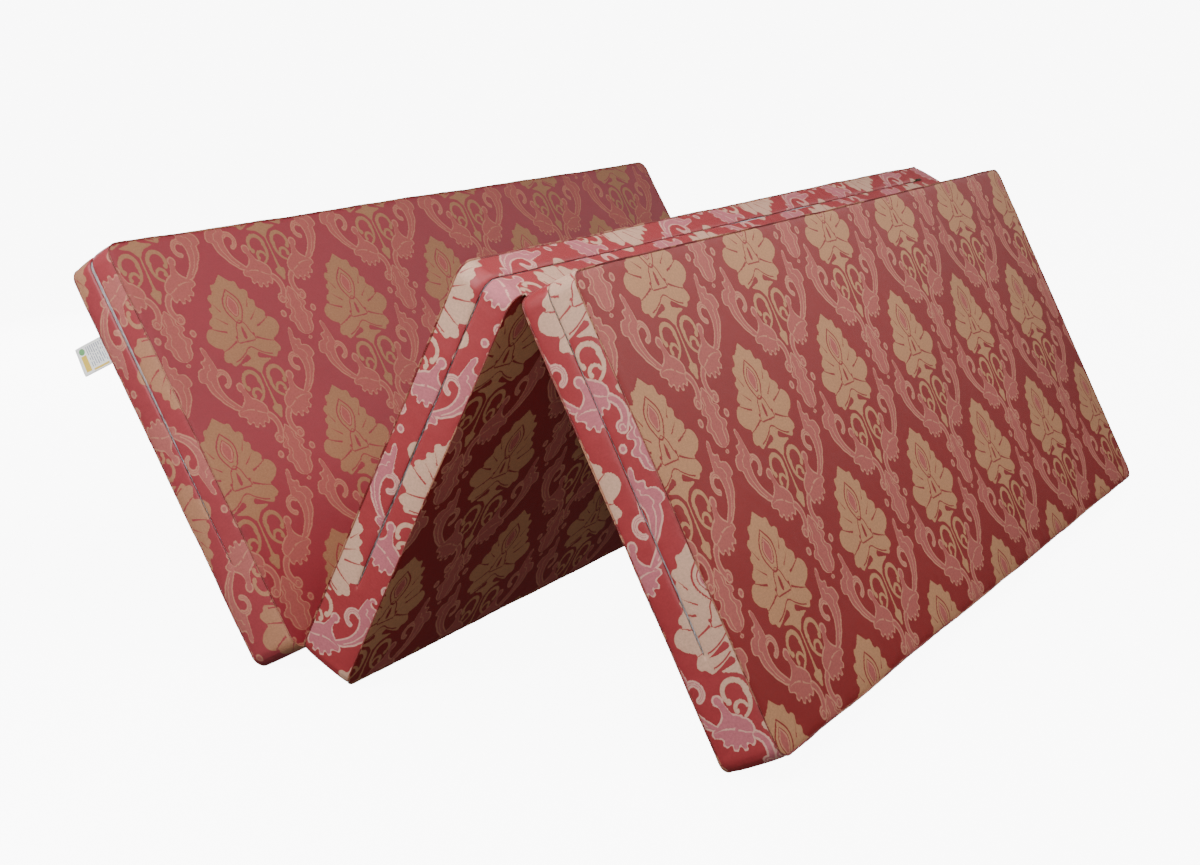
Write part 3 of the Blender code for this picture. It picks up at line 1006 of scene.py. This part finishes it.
def smooth_mesh(name, points, faces, material):
    mesh = bpy.data.meshes.new(name)
    mesh.from_pydata(np.asarray(points, float).tolist(), [], faces)
    mesh.polygons.foreach_set("use_smooth", [True] * len(mesh.polygons))
    mesh.materials.append(material)
    return mesh


def make_piece(name, points, faces, material, body, replaced=(), uv=None, extra=None):
    """One piece of the object. uv is a place on the flat cloth for each corner of each face."""
    mesh = smooth_mesh(name, points, faces, material)
    if uv is not None:
        layer = mesh.uv_layers.new(name="cloth")
        layer.data.foreach_set("uv", np.asarray(uv, np.float32).ravel())
    for label, values in (extra or {}).items():
        data = mesh.attributes.new(label, "FLOAT", "POINT")
        data.data.foreach_set("value", np.asarray(values, np.float32))
    obj = add_object(name, mesh)
    if body is not None:
        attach(obj, body)
    if replaced:
        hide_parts(*replaced)
    return obj


def on_floor(points):
    """Flattens what would reach below the floor."""
    points = np.array(points)
    points[:, 2] = np.maximum(points[:, 2], FLOOR_GAP)
    return points


def slab_piece(slab, part, points, faces, material, replaced=(), uv=None, extra=None):
    """A piece of one slab, whose points are in the slab's own frame."""
    points = on_floor(slab.world(points))
    name = f"{slab.name}_{part}"
    return make_piece(name, points, faces, material, slab.body, replaced, uv, extra)


def corner_values(faces, values):
    """Values of points, read out corner by corner."""
    return np.asarray(values)[np.concatenate([np.asarray(face) for face in faces])]


def thicken(obj, thickness=CLOTH_THICKNESS, levels=1):
    """Smooths a cloth and gives it its thickness, inwards from the face that shows."""
    if levels:
        smooth = obj.modifiers.new("Smooth", "SUBSURF")
        smooth.levels = levels
        smooth.render_levels = levels
    solid = obj.modifiers.new("Thickness", "SOLIDIFY")
    solid.thickness = thickness
    solid.offset = -1
    return obj


def cloth_for(slab, part):
    """The left slab's cover takes palettes of its own, pinker and lower in contrast, with the sheen and shade that
    fall on that slab painted in; the others' borders take the paler border palette, which is painted sheen on the
    same cloth.
    """
    return MATERIALS["left_" + part if slab.name == "left" else part]


def face_cloth(cover, side, index):
    """One face panel of a cover."""
    slab = cover.slab
    local = cover.points[index.ravel()]
    numbers = np.arange(index.size).reshape(index.shape)
    faces = grid_faces(numbers)
    if index is cover.minus:
        faces = [face[::-1] for face in faces]
    away = edge_distance(local[:, 0], local[:, 1]) - SEAM_INSET
    nearest = nearest_loop_place(local[:, :2])
    uv = corner_values(faces, face_pattern(f"{slab.name}_{side}", local))
    extra = {"seam_distance": away, "seam_way": LOOP_WAY[nearest]}
    obj = slab_piece(
        slab, side + "_cloth", local, faces, cloth_for(slab, "face"),
        [f"{slab.name}_{side}_face"], uv, extra,
    )
    thicken(obj)


# The cloth's bow: how far it reaches, where it starts and over what length. Its skew: the slope, and how far
# down the slab the cloth lies true.
BOW, BOW_START, BOW_SPAN = 0.028, 0.7, 0.733
SKEW = (0.033, 0.080)
RIGHT_TOP_SKEW = (0.0414, 0.372)


def face_pattern(name, local):
    """Where each point of a face lies on the patterned cloth, in metres, with the cloth's skew and bow."""
    across, along = FACE_PHASE[name]
    near = local[:, 1] + LENGTH / 2
    down = WIDTH - local[:, 0]
    bow = BOW * (np.maximum(near - BOW_START, 0) / BOW_SPAN) ** 2
    slope, true_at = RIGHT_TOP_SKEW if name == "right_top" else SKEW
    skew = slope * (down - true_at)
    return np.stack([near + skew + across / 1000, along / 1000 - down + bow], 1)


# ---------------------------------------------------------------- the border and its slit


ROUNDING = 1e-4


def in_slit(place):
    """Whether an outline place lies on the slit."""
    x, y = LOOP_POINTS[place]
    near_end = y < -LENGTH / 2 + CORNER
    if near_end and x < WIDTH - CORNER:
        return x >= SLIT_START - ROUNDING
    return x > WIDTH - CORNER - ROUNDING and y <= SLIT_END + ROUNDING


SLIT = [in_slit(place) for place in range(COUNT_LOOP)]
SLIT_FIRST = SLIT.index(True)
SLIT_LAST = COUNT_LOOP - 1 - SLIT[::-1].index(True)
SEAM_HEIGHT = 0.0435
HEM_DISTANCE = 0.0015
# How far out from the outline a lip may stand.
LIP_REACH = 0.0011
# A lip's points: how far beyond the gap in millimetres, how deep below the cloth, and how much is turned in.
LIP = ((1.25, -0.00030, 0.0), (0.25, 0.00030, 0.0012), (0.0, 0.00130, 0.0022), (1.3, 0.00235, 0.0040))


def opening(slab, place):
    """How far the lips stand from the slit's middle line at an outline place."""
    way = LOOP_WAY[place] - LOOP_WAY[SLIT_FIRST]
    ways, gaps = zip(*SLIT_OPENINGS[slab.name])
    return float(np.interp(way, ways, gaps)) / 1000


class Strip:
    """The border as a strip of columns, with the slit's lips turned in."""

    def __init__(self, cover):
        self.cover = cover
        self.points = []
        self.cloth = []
        self.seam = []
        self.half_rows = len(BORDER_ROWS) + 1
        self.columns = [self.add_column(place) for place in range(COUNT_LOOP)]
        self.faces = []
        self.uv = []
        self.strips = []
        for place in range(COUNT_LOOP):
            self.join(place)

    def add(self, point, across, to_seam):
        self.points.append(point)
        self.cloth.append(across)
        self.seam.append(to_seam)
        return len(self.points) - 1

    def add_column(self, place):
        """The point numbers of one column: those above the middle, and those below it."""
        cover = self.cover
        line = cover.points[cover.border[place]]
        heights = [cover.slab.half - SEAM_INSET, *cover.rows, -cover.slab.half + SEAM_INSET]
        halves = []
        for sign in (1, -1):
            order = range(self.half_rows) if sign > 0 else range(len(line) - 1, self.half_rows, -1)
            numbers = []
            for row in order:
                height = heights[row]
                numbers.append(self.add(line[row], height, SEAM_HEIGHT - abs(height)))
            halves.append(numbers)
        middle = line[self.half_rows]
        if SLIT_FIRST < place < SLIT_LAST:
            self.add_lips(place, middle, halves)
            return halves
        shared = self.add(middle, 0.0, SEAM_HEIGHT)
        return [numbers + [shared] for numbers in halves]

    def add_lips(self, place, middle, halves):
        """Turns the two halves of an open column in at the slit, no further out than the zip's pull lies."""
        gap = opening(self.cover.slab, place)
        out = np.array([*LOOP_OUT[place], 0.0])
        proud = float((middle[:2] - LOOP_POINTS[place]) @ LOOP_OUT[place])
        middle = middle - out * max(0.0, proud - LIP_REACH)
        for sign, numbers in zip((1, -1), halves):
            for beyond, depth, turned in LIP:
                offset = gap + beyond / 1000
                point = middle - out * depth
                point = point + np.array([0.0, 0.0, sign * offset])
                height = sign * (gap + LIP[0][0] / 1000 - turned)
                numbers.append(self.add(point, height, HEM_DISTANCE + turned))

    def join(self, place):
        """The faces between one column and the next."""
        after = (place + 1) % COUNT_LOOP
        ways = (LOOP_WAY[place], LOOP_WAY[place + 1])
        for half, (here, there) in enumerate(zip(self.columns[place], self.columns[after])):
            common = min(len(here), len(there)) - 1
            corners = []
            for row in range(common):
                corners.append([(here[row], 0), (here[row + 1], 0), (there[row + 1], 1), (there[row], 1)])
            for row in range(common, len(here) - 1):
                corners.append([(here[row], 0), (here[row + 1], 0), (there[-1], 1)])
            for row in range(common, len(there) - 1):
                corners.append([(here[-1], 0), (there[row + 1], 1), (there[row], 1)])
            for face in corners:
                face = face if half == 0 else face[::-1]
                self.faces.append(tuple(number for number, _ in face))
                self.uv += [(self.cloth[number], ways[side]) for number, side in face]
                own_strip = half == 1 and SLIT_FIRST <= place < SLIT_LAST
                self.strips += [int(own_strip)] * len(face)


def border_pattern(name, cloth, strips=0):
    """Places on the patterned cloth of places on a border strip."""
    across, starts, way = BORDER_PHASE[name]
    along = np.array(starts)[np.broadcast_to(strips, len(cloth))]
    return np.array(cloth) * (1, way) + np.stack([np.full(len(cloth), across), along], 1) / 1000


def border_cloth(cover):
    slab = cover.slab
    strip = Strip(cover)
    uv = border_pattern(slab.name, strip.uv, strip.strips)
    points = np.array(strip.points)
    nearest = nearest_loop_place(points[:, :2])
    extra = {"seam_distance": strip.seam, "seam_way": LOOP_WAY[nearest]}
    obj = slab_piece(
        slab, "border_cloth", points, strip.faces, cloth_for(slab, "border"),
        [slab.name + "_border"], uv, extra,
    )
    thicken(obj)
    round_it = LOOP_WAY[-1] - LOOP_WAY[0]


# ---------------------------------------------------------------- filling, welts and stitches

WELT_SIDES = 10
# A stitch's rings: the share of its half length that each stands from its middle, and how far it lifts.
STITCH_RINGS = ((-1.0, -0.0002), (-0.6, 0.00018), (0.6, 0.00018), (1.0, -0.0002))
STITCH_SIDES = 4
STITCH_POINTS = len(STITCH_RINGS) * STITCH_SIDES
# Any small patch of the thread's own cloth map serves every face of a stitch.
STITCH_PATCH = [(0.0, 0.0), (0.0005, 0.0), (0.0005, 0.001), (0.0, 0.001)]
FILLING_INSET = 0.0022
GROOVE_DEPTH = 0.0078
GROOVE_HALF = 0.016


def point_normals(points, faces):
    """Outward directions of a closed quad form's points."""
    quads = np.array(faces)
    across = points[quads[:, 2]] - points[quads[:, 0]]
    other = points[quads[:, 3]] - points[quads[:, 1]]
    flat = np.cross(across, other)
    normals = np.zeros_like(points)
    for corner in range(4):
        np.add.at(normals, quads[:, corner], flat)
    return normals / np.maximum(np.linalg.norm(normals, axis=1), 1e-12)[:, None]


def filling(cover):
    """The firm pad inside a cover, pressed in along the zip."""
    slab = cover.slab
    inset = np.full(len(cover.points), FILLING_INSET)
    for place in range(SLIT_FIRST - 1, SLIT_LAST + 2):
        for column, height in enumerate(cover.rows):
            if abs(height) < GROOVE_HALF:
                inset[cover.border[place, column + 1]] = GROOVE_DEPTH
    points = cover.points - point_normals(cover.points, cover.faces) * inset[:, None]
    core = [slab.name + "_core"]
    obj = slab_piece(slab, "filling", points, cover.faces, MATERIALS["filling"], core)


def seam_line(cover, side):
    """Points along one seam, twice as close as the cover's, with their outward directions and ways."""
    column = 0 if side > 0 else -1
    line = cover.points[cover.border[:, column]]
    out = LOOP_OUT
    fine = np.empty((2 * COUNT_LOOP, 3))
    fine[0::2] = line
    fine[1::2] = (9 * (line + np.roll(line, -1, 0)) - np.roll(line, 1, 0) - np.roll(line, -2, 0)) / 16
    fine_out = np.empty((2 * COUNT_LOOP, 2))
    fine_out[0::2] = out
    fine_out[1::2] = out + np.roll(out, -1, 0)
    fine_out = unit(fine_out)
    way = np.empty(2 * COUNT_LOOP + 1)
    way[0::2] = LOOP_WAY
    way[1::2] = (LOOP_WAY[1:] + LOOP_WAY[:-1]) / 2
    return fine, fine_out, way


def welt_ring(centre, out, side, tilt, height):
    """One cross-section of a welt: a flat oval that stands out diagonally from the seam."""
    plan = np.array([*out, 0.0])
    up = np.array([0.0, 0.0, float(side)])
    lean = math.radians(45) + tilt
    ridge = plan * math.cos(lean) + up * math.sin(lean)
    flank = -plan * math.sin(lean) + up * math.cos(lean)
    ring = []
    for corner in range(WELT_SIDES):
        turn = 2 * math.pi * corner / WELT_SIDES
        along = (math.cos(turn) + 1) / 2 * (height + WELT_BASE) - WELT_BASE
        across = math.sin(turn) * WELT_HALF
        ring.append(centre + ridge * along + flank * across)
    return ring


def welt(cover, side, face):
    """The self-cloth ridge that stands along one face's seam."""
    slab = cover.slab
    line, out, way = seam_line(cover, side)
    total = way[-1] - way[0]
    tilt = wander(way[:-1], total, slab.seed + 5 + side, 10, 220) * WELT_TILT
    height = WELT_HEIGHT + wander(way[:-1], total, slab.seed + 7 + side, 20, 400) * WELT_RISE
    points = []
    for place in range(len(line)):
        points += welt_ring(line[place], out[place], side, tilt[place], height[place])
    faces, uv = ring_faces(len(line), WELT_SIDES, way, WELT_PITCH)
    if side > 0:
        faces, uv = flipped(faces, uv)
    uv = border_pattern(slab.name, np.array(uv) + (WELT_CLOTH_START * side, 0))
    distance = np.full(len(points), PUCKER_DISTANCE)
    extra = {"seam_distance": distance, "seam_way": np.repeat(way[:-1], WELT_SIDES)}
    # The welt's darker palette is painted shade along the seams' edges.
    material = cloth_for(slab, "welt")
    slab_piece(slab, face + "_welt", points, faces, material, (), uv, extra)


def ring_faces(rings, sides, way, pitch):
    """Faces and flat places of a closed tube of rings, which also closes on itself."""
    faces = []
    uv = []
    for ring in range(rings):
        after = (ring + 1) % rings
        for side in range(sides):
            other = (side + 1) % sides
            here, there = ring * sides, after * sides
            faces.append((here + side, there + side, there + other, here + other))
            low, high = side * pitch, (side + 1) * pitch
            uv += [(low, way[ring]), (low, way[ring + 1]), (high, way[ring + 1]), (high, way[ring])]
    return faces, uv


def flipped(faces, uv):
    """The same faces, facing the other way."""
    sides = len(faces[0])
    corners = np.array(uv).reshape(-1, sides, 2)[:, ::-1]
    return [face[::-1] for face in faces], corners.reshape(-1, 2)


def stitches(cover):
    """Two rows of thread along both seams, on either flank of the welts."""
    slab = cover.slab
    points = []
    faces = []
    for side in (1, -1):
        seam = seam_line(cover, side)
        for flank in (1, -1):
            row = stitch_row(seam, side, flank)
            faces += stitch_faces(sum(len(part) for part in points), len(row) // STITCH_POINTS, side * flank)
            points.append(row)
    points = np.concatenate(points)
    uv = STITCH_PATCH * len(faces)
    slab_piece(slab, "stitches", points, faces, MATERIALS["thread"], (), uv)


def stitch_row(seam, side, flank):
    """The points of one row of stitches: four rings of four points for each."""
    line, out, way = seam
    closed_line = np.concatenate([line, line[:1]])
    closed_out = np.concatenate([out, out[:1]])
    count = int((way[-1] - way[0]) / STITCH_PITCH)
    middles = way[0] + (np.arange(count) + 0.5) * STITCH_PITCH
    up = np.array([0.0, 0.0, float(side)])
    rings = []
    for share, lift in STITCH_RINGS:
        places = middles + share * STITCH_LENGTH / 2
        centre = np.stack([np.interp(places, way, closed_line[:, k]) for k in range(3)], 1)
        plan = np.stack([np.interp(places, way, closed_out[:, k]) for k in range(2)], 1)
        plan = np.hstack([unit(plan), np.zeros((count, 1))])
        ridge = (plan + up) * math.sqrt(0.5)
        off = (up - plan) * math.sqrt(0.5) * flank
        centre = centre + ridge * STITCH_RISE + off * (WELT_HALF * STITCH_FLANK + lift)
        for turn in range(STITCH_SIDES):
            angle = math.pi / 2 * turn
            rings.append(centre + (ridge * math.cos(angle) + off * math.sin(angle)) * STITCH_HALF)
    return np.stack(rings, 1).reshape(-1, 3)


def stitch_faces(first, count, turned):
    one = []
    for ring in range(len(STITCH_RINGS) - 1):
        for turn in range(STITCH_SIDES):
            other = (turn + 1) % STITCH_SIDES
            low = ring * STITCH_SIDES
            high = low + STITCH_SIDES
            face = [low + turn, low + other, high + other, high + turn]
            one.append(face if turned > 0 else face[::-1])
    every = first + STITCH_POINTS * np.arange(count)[:, None, None] + np.array(one)[None]
    return [tuple(face) for face in every.reshape(-1, 4).tolist()]


# ---------------------------------------------------------------- zips

COIL_PITCH = 0.0016
COIL_WIRE = 0.00033
COIL_STEPS = 6
COIL_SIDES = 4
COIL_ENDS = (0.005, 0.006)
COIL_DEPTH = (0.0040, 0.00065)
COIL_OFFSET = (0.00140, 0.00135)


def slit_path(start, end, step):
    """Places along the slit's middle, on the slab's true outline, with outward directions."""
    ways = LOOP_WAY[SLIT_FIRST : SLIT_LAST + 1]
    points = LOOP_POINTS[SLIT_FIRST : SLIT_LAST + 1]
    out = LOOP_OUT[SLIT_FIRST : SLIT_LAST + 1]
    way = np.arange(ways[0] + start, ways[-1] - end, step)
    plan = np.stack([np.interp(way, ways, points[:, k]) for k in range(2)], 1)
    away = unit(np.stack([np.interp(way, ways, out[:, k]) for k in range(2)], 1))
    zeros = np.zeros((len(way), 1))
    return way, np.hstack([plan + away * SEAM_INSET, zeros]), np.hstack([away, zeros])


def coil_line(sign):
    """The centreline of one row of zip coil, and the slit's direction beside each of its points."""
    way, path, out = slit_path(*COIL_ENDS, COIL_PITCH / COIL_STEPS)
    turn = 2 * np.pi * (way - way[0]) / COIL_PITCH + (0 if sign > 0 else np.pi)
    offset = sign * (COIL_OFFSET[0] + COIL_OFFSET[1] * np.cos(turn))
    depth = COIL_DEPTH[0] - COIL_DEPTH[1] * np.sin(turn)
    along = unit(np.gradient(path, axis=0))
    return path - out * depth[:, None] + np.outer(offset, [0, 0, 1]), along


def tube(line, reference, radius, sides):
    """A tube along a line, whose sides turn with a reference direction."""
    tangent = unit(np.gradient(line, axis=0))
    first = np.cross(tangent, reference)
    first /= np.maximum(np.linalg.norm(first, axis=1), 1e-9)[:, None]
    second = np.cross(tangent, first)
    points = []
    for side in range(sides):
        turn = 2 * np.pi * side / sides
        points.append(line + radius * (first * math.cos(turn) + second * math.sin(turn)))
    points = np.stack(points, 1).reshape(-1, 3)
    index = np.arange(len(line) * sides).reshape(len(line), sides)
    ring = np.concatenate([index, index[:, :1]], 1)
    faces = [face[::-1] for face in grid_faces(ring)]
    faces += [tuple(index[0]), tuple(index[-1][::-1])]
    return points, faces


def zip_coils(slab):
    """Both rows of coil of one zip, closed from its stop to its slider."""
    points = []
    faces = []
    for sign in (1, -1):
        row, row_faces = tube(*coil_line(sign), COIL_WIRE, COIL_SIDES)
        faces += [tuple(int(number) + len(points) for number in face) for face in row_faces]
        points += row.tolist()
    nodes = [slab.name + "_zip_coil_upper", slab.name + "_zip_coil_lower"]
    make_piece(
        slab.name + "_zip_coils", slab.world(points), faces, MATERIALS["coil"],
        slab.body, nodes,
    )


# The zip pieces that keep their CAD shape: each one's material, and the width of its softened edges.
CAD_PARTS = {
    "zip_tape_upper": ("tape", 0.0),
    "zip_tape_lower": ("tape", 0.0),
    "zip_stop": ("metal", 0.00015),
    "zip_slider": ("metal", 0.00022),
    "zip_pull": ("metal", 0.00018),
}


def finish_cad_nodes(slab):
    """Gives the zip pieces that keep their CAD shape their materials and softened edges."""
    for part, (material, bevel) in CAD_PARTS.items():
        obj = frame["nodes"][f"{slab.name}_{part}"]
        obj.data.materials.clear()
        obj.data.materials.append(MATERIALS[material])
        if bevel:
            edge = obj.modifiers.new("Softened", "BEVEL")
            edge.width = bevel
            edge.segments = 2
            edge.limit_method = "ANGLE"


# ---------------------------------------------------------------- webs and label

WEB_HALF_LENGTH = 0.778
WEB_REACHES = (0.0058, 0.0043, 0.0034, 0.0026)
WEB_BEND = 0.0018
WEB_BLEND = 0.8
WEB_ROWS = 161
WEB_THICKNESS = 0.0008


def nearest_corner(slab, axis):
    """The slab's edge corner nearest to a fold's axis, at the middle of its length."""
    corners = [slab.world((x, 0, z)) for x in (0, WIDTH) for z in (-slab.half, slab.half)]
    return min(corners, key=lambda corner: np.linalg.norm(corner - axis))


def fold_web(name, first, second, joint):
    """The strip that hinges two covers: straight out from each seam, and bent round the fold's axis."""
    axis = np.array(next(j for j in frame["joints"] if j["name"] == joint)["pos_m"], float)
    arms = [unit(nearest_corner(slab, axis) - axis) for slab in (first, second)]
    profile = [arms[0] * reach for reach in WEB_REACHES]
    for share in (0.0, 0.25, 0.5, 0.75, 1.0):
        profile.append(WEB_BEND * ((1 - share) ** 2 * arms[0] + share**2 * arms[1]))
    profile += [arms[1] * reach for reach in reversed(WEB_REACHES)]
    profile = np.array(profile)
    steps = np.linalg.norm(np.diff(profile, axis=0), axis=1)
    across = np.concatenate([[0.0], np.cumsum(steps)])
    lengths = np.linspace(-WEB_HALF_LENGTH, WEB_HALF_LENGTH, WEB_ROWS)
    points = np.array([[row + axis + (0, y, 0) for row in profile] for y in lengths])
    index = np.arange(len(lengths) * len(profile)).reshape(len(lengths), len(profile))
    faces = grid_faces(index)
    cloth = np.array([[(u, y) for u in across] for y in lengths]).reshape(-1, 2)
    flat = np.zeros(index.size)
    # The web takes the border's paler palette, whose paleness is painted sheen.
    obj = make_piece(
        name + "_cloth", on_floor(points.reshape(-1, 3)), faces, MATERIALS["border"], None,
        (), corner_values(faces, cloth), {"seam_distance": flat + PUCKER_DISTANCE, "seam_way": flat},
    )
    solid = thicken(obj, WEB_THICKNESS, 0).modifiers["Thickness"]
    solid.offset = 0
    start, end = (axis + arm * WEB_BEND * WEB_BLEND for arm in arms)
    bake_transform(obj)
    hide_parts(name)


LABEL_WIDTH = 0.045
LABEL_LENGTH = 0.048
LABEL_THICKNESS = 0.00035
LABEL_LEAN = 0.42
LABEL_ROWS = 14
LABEL_HEM = 0.0008
LABEL_DEPTH = 0.0012
LABEL_CURL = 0.0016
LABEL_CUP = 0.0010
LABEL_PLACE = 0.8
LABEL_Y = -0.7991


def care_label(slab):
    """The care label, which stands out of the left slab's outer seam with a slight curl."""
    shares = np.linspace(0, 1, LABEL_ROWS)
    points = []
    cloth = []
    for out in shares:
        for across in shares:
            curl = LABEL_CURL * math.sin(2.2 * out + 1.1 * across) * out
            curl += LABEL_CUP * out * out * math.cos(3.0 * across)
            x = LABEL_PLACE * WIDTH + (across - 0.5) * LABEL_WIDTH
            far = out * (LABEL_LENGTH - LABEL_HEM)
            y = LABEL_Y - curl - far * math.sin(LABEL_LEAN)
            points.append((x, y, slab.half - LABEL_DEPTH + far * math.cos(LABEL_LEAN)))
            cloth.append((across * LABEL_WIDTH, out * LABEL_LENGTH))
    faces = grid_faces(np.arange(LABEL_ROWS**2).reshape(LABEL_ROWS, LABEL_ROWS))
    obj = make_piece(
        "care_label_cloth", slab.world(points), faces, MATERIALS["label"], slab.body,
        ["care_label"], corner_values(faces, cloth),
    )
    solid = thicken(obj, LABEL_THICKNESS).modifiers["Thickness"]
    solid.offset = 0


# ---------------------------------------------------------------- floor, light and camera

CAMERA_PLACE = (1.4689, -2.6723, 0.9437)
CAMERA_YAW = -31.204
CAMERA_PITCH = 13.253
CAMERA_ROLL = -0.613
SENSOR_WIDTH = 36.0
LENS = 53.74

# The backdrop's reach and height, from the middle out.
BACKDROP_PROFILE = ((0.5, 0.0), (4.0, 0.0), (9.0, 0.0), (12.0, 0.25), (14.0, 1.2), (15.0, 3.0), (15.2, 9.0))
BACKDROP_SIDES = 96
BACKDROP_GLOW = 9.0

WORLD_COLOUR = (1.0, 0.78, 0.74, 1.0)
WORLD_STRENGTH = 0.07
# Each light's place, what it points at, its size and its power.
LIGHTS = {
    "overhead": ((0.85, -0.55, 2.1), (0.1, -0.1, 0.3), (2.4, 0.9), 43),
    "front": ((-0.45, -2.3, 1.6), (0.0, -0.7, 0.4), (0.9, 0.6), 48),
    "low_fill": ((1.6, -3.0, 0.35), (0.0, -0.4, 0.3), (0.9, 0.5), 24),
    "back": ((2.6, 4.8, 3.4), (0.1, 0.0, 0.35), (2.6, 1.4), 80),
    "left_side": ((-2.9, 1.1, 1.0), (-0.4, 0.2, 0.3), (1.6, 0.9), 48),
}


def backdrop():
    """A pale floor that curves up into a wall far off all round. It shows, and throws no light back."""
    turns = np.linspace(0, 2 * np.pi, BACKDROP_SIDES, endpoint=False)
    points = []
    for reach, height in BACKDROP_PROFILE:
        points += [(reach * math.cos(turn), reach * math.sin(turn), height) for turn in turns]
    index = np.arange(len(points)).reshape(len(BACKDROP_PROFILE), len(turns))
    around = np.concatenate([index, index[:, :1]], 1)
    material, _, surface = new_material("pale_floor")
    grey, white = (0.62, 0.62, 0.62, 1.0), (1.0, 1.0, 1.0, 1.0)
    coat(surface, colour=grey, roughness=0.9, specular=0.1, glow=white, glow_strength=BACKDROP_GLOW)
    faces = grid_faces(around) + [tuple(index[0].tolist())]
    obj = add_object("backdrop", smooth_mesh("backdrop", points, faces, material))
    obj.visible_diffuse = False
    obj.visible_glossy = False


def aim(obj, axes, place):
    """Puts an object in its place, with its own X, Y and Z along three directions."""
    turn = np.eye(4)
    turn[:3, :3] = np.stack(axes, 1)
    turn[:3, 3] = place
    obj.matrix_world = Matrix(turn.tolist())


def soft_light(name, place, target, size, power):
    light = bpy.data.lights.new(name, "AREA")
    light.shape = "RECTANGLE"
    light.size, light.size_y = size
    light.energy = power
    obj = add_object(name, light)
    back = unit(np.array(place, float) - np.array(target, float))
    right = unit(np.cross((0, 0, 1), back))
    aim(obj, (right, np.cross(back, right), back), place)


def world_light():
    world = bpy.data.worlds.new("studio")
    world.use_nodes = True
    background = next(node for node in world.node_tree.nodes if node.type == "BACKGROUND")
    background.inputs["Color"].default_value = WORLD_COLOUR
    background.inputs["Strength"].default_value = WORLD_STRENGTH
    bpy.context.scene.world = world


def studio():
    backdrop()
    world_light()
    for name, light in LIGHTS.items():
        soft_light(name, *light)


def place_camera():
    data = bpy.data.cameras.new("camera")
    data.sensor_width = SENSOR_WIDTH
    data.lens = LENS
    obj = add_object("camera", data)
    yaw, pitch, roll = (math.radians(angle) for angle in (CAMERA_YAW, CAMERA_PITCH, CAMERA_ROLL))
    ahead = math.cos(pitch)
    forward = np.array([math.sin(yaw) * ahead, math.cos(yaw) * ahead, -math.sin(pitch)])
    right = np.array([math.cos(yaw), -math.sin(yaw), 0.0])
    up = np.cross(right, forward)
    rolled_right = math.cos(roll) * right + math.sin(roll) * up
    rolled_up = -math.sin(roll) * right + math.cos(roll) * up
    aim(obj, (rolled_right, rolled_up, -forward), CAMERA_PLACE)
    bpy.context.scene.camera = obj


# ---------------------------------------------------------------- everything together

CLOTHS = ("face", "border", "welt", "left_face", "left_border", "left_welt")
MATERIALS = {name: damask("damask_" + name, PALETTES[name]) for name in CLOTHS}
MATERIALS |= {
    "tape": tape_material("zip_tape_weave"),
    "coil": coil_material("zip_coil_polyester"),
    "metal": metal_material("zip_lacquered_metal"),
    "filling": filling_material("pressed_fibre"),
    "thread": thread_material("seam_thread", linear(150, 62, 60)),
    "label": label_material("printed_satin"),
}


def build():
    slabs = {name: Slab(name) for name in SLAB_NAMES}
    covers = [Cover(slab) for slab in slabs.values()]
    settle(covers)
    for cover in covers:
        slab = cover.slab
        filling(cover)
        face_cloth(cover, slab.plus, cover.plus)
        face_cloth(cover, slab.minus, cover.minus)
        border_cloth(cover)
        welt(cover, 1, slab.plus)
        welt(cover, -1, slab.minus)
        stitches(cover)
        zip_coils(slab)
        finish_cad_nodes(slab)
    fold_web("left_fold_web", slabs["middle"], slabs["left"], "left_fold")
    fold_web("right_fold_web", slabs["middle"], slabs["right"], "right_fold")
    care_label(slabs["left"])


place_camera()
studio()
build()
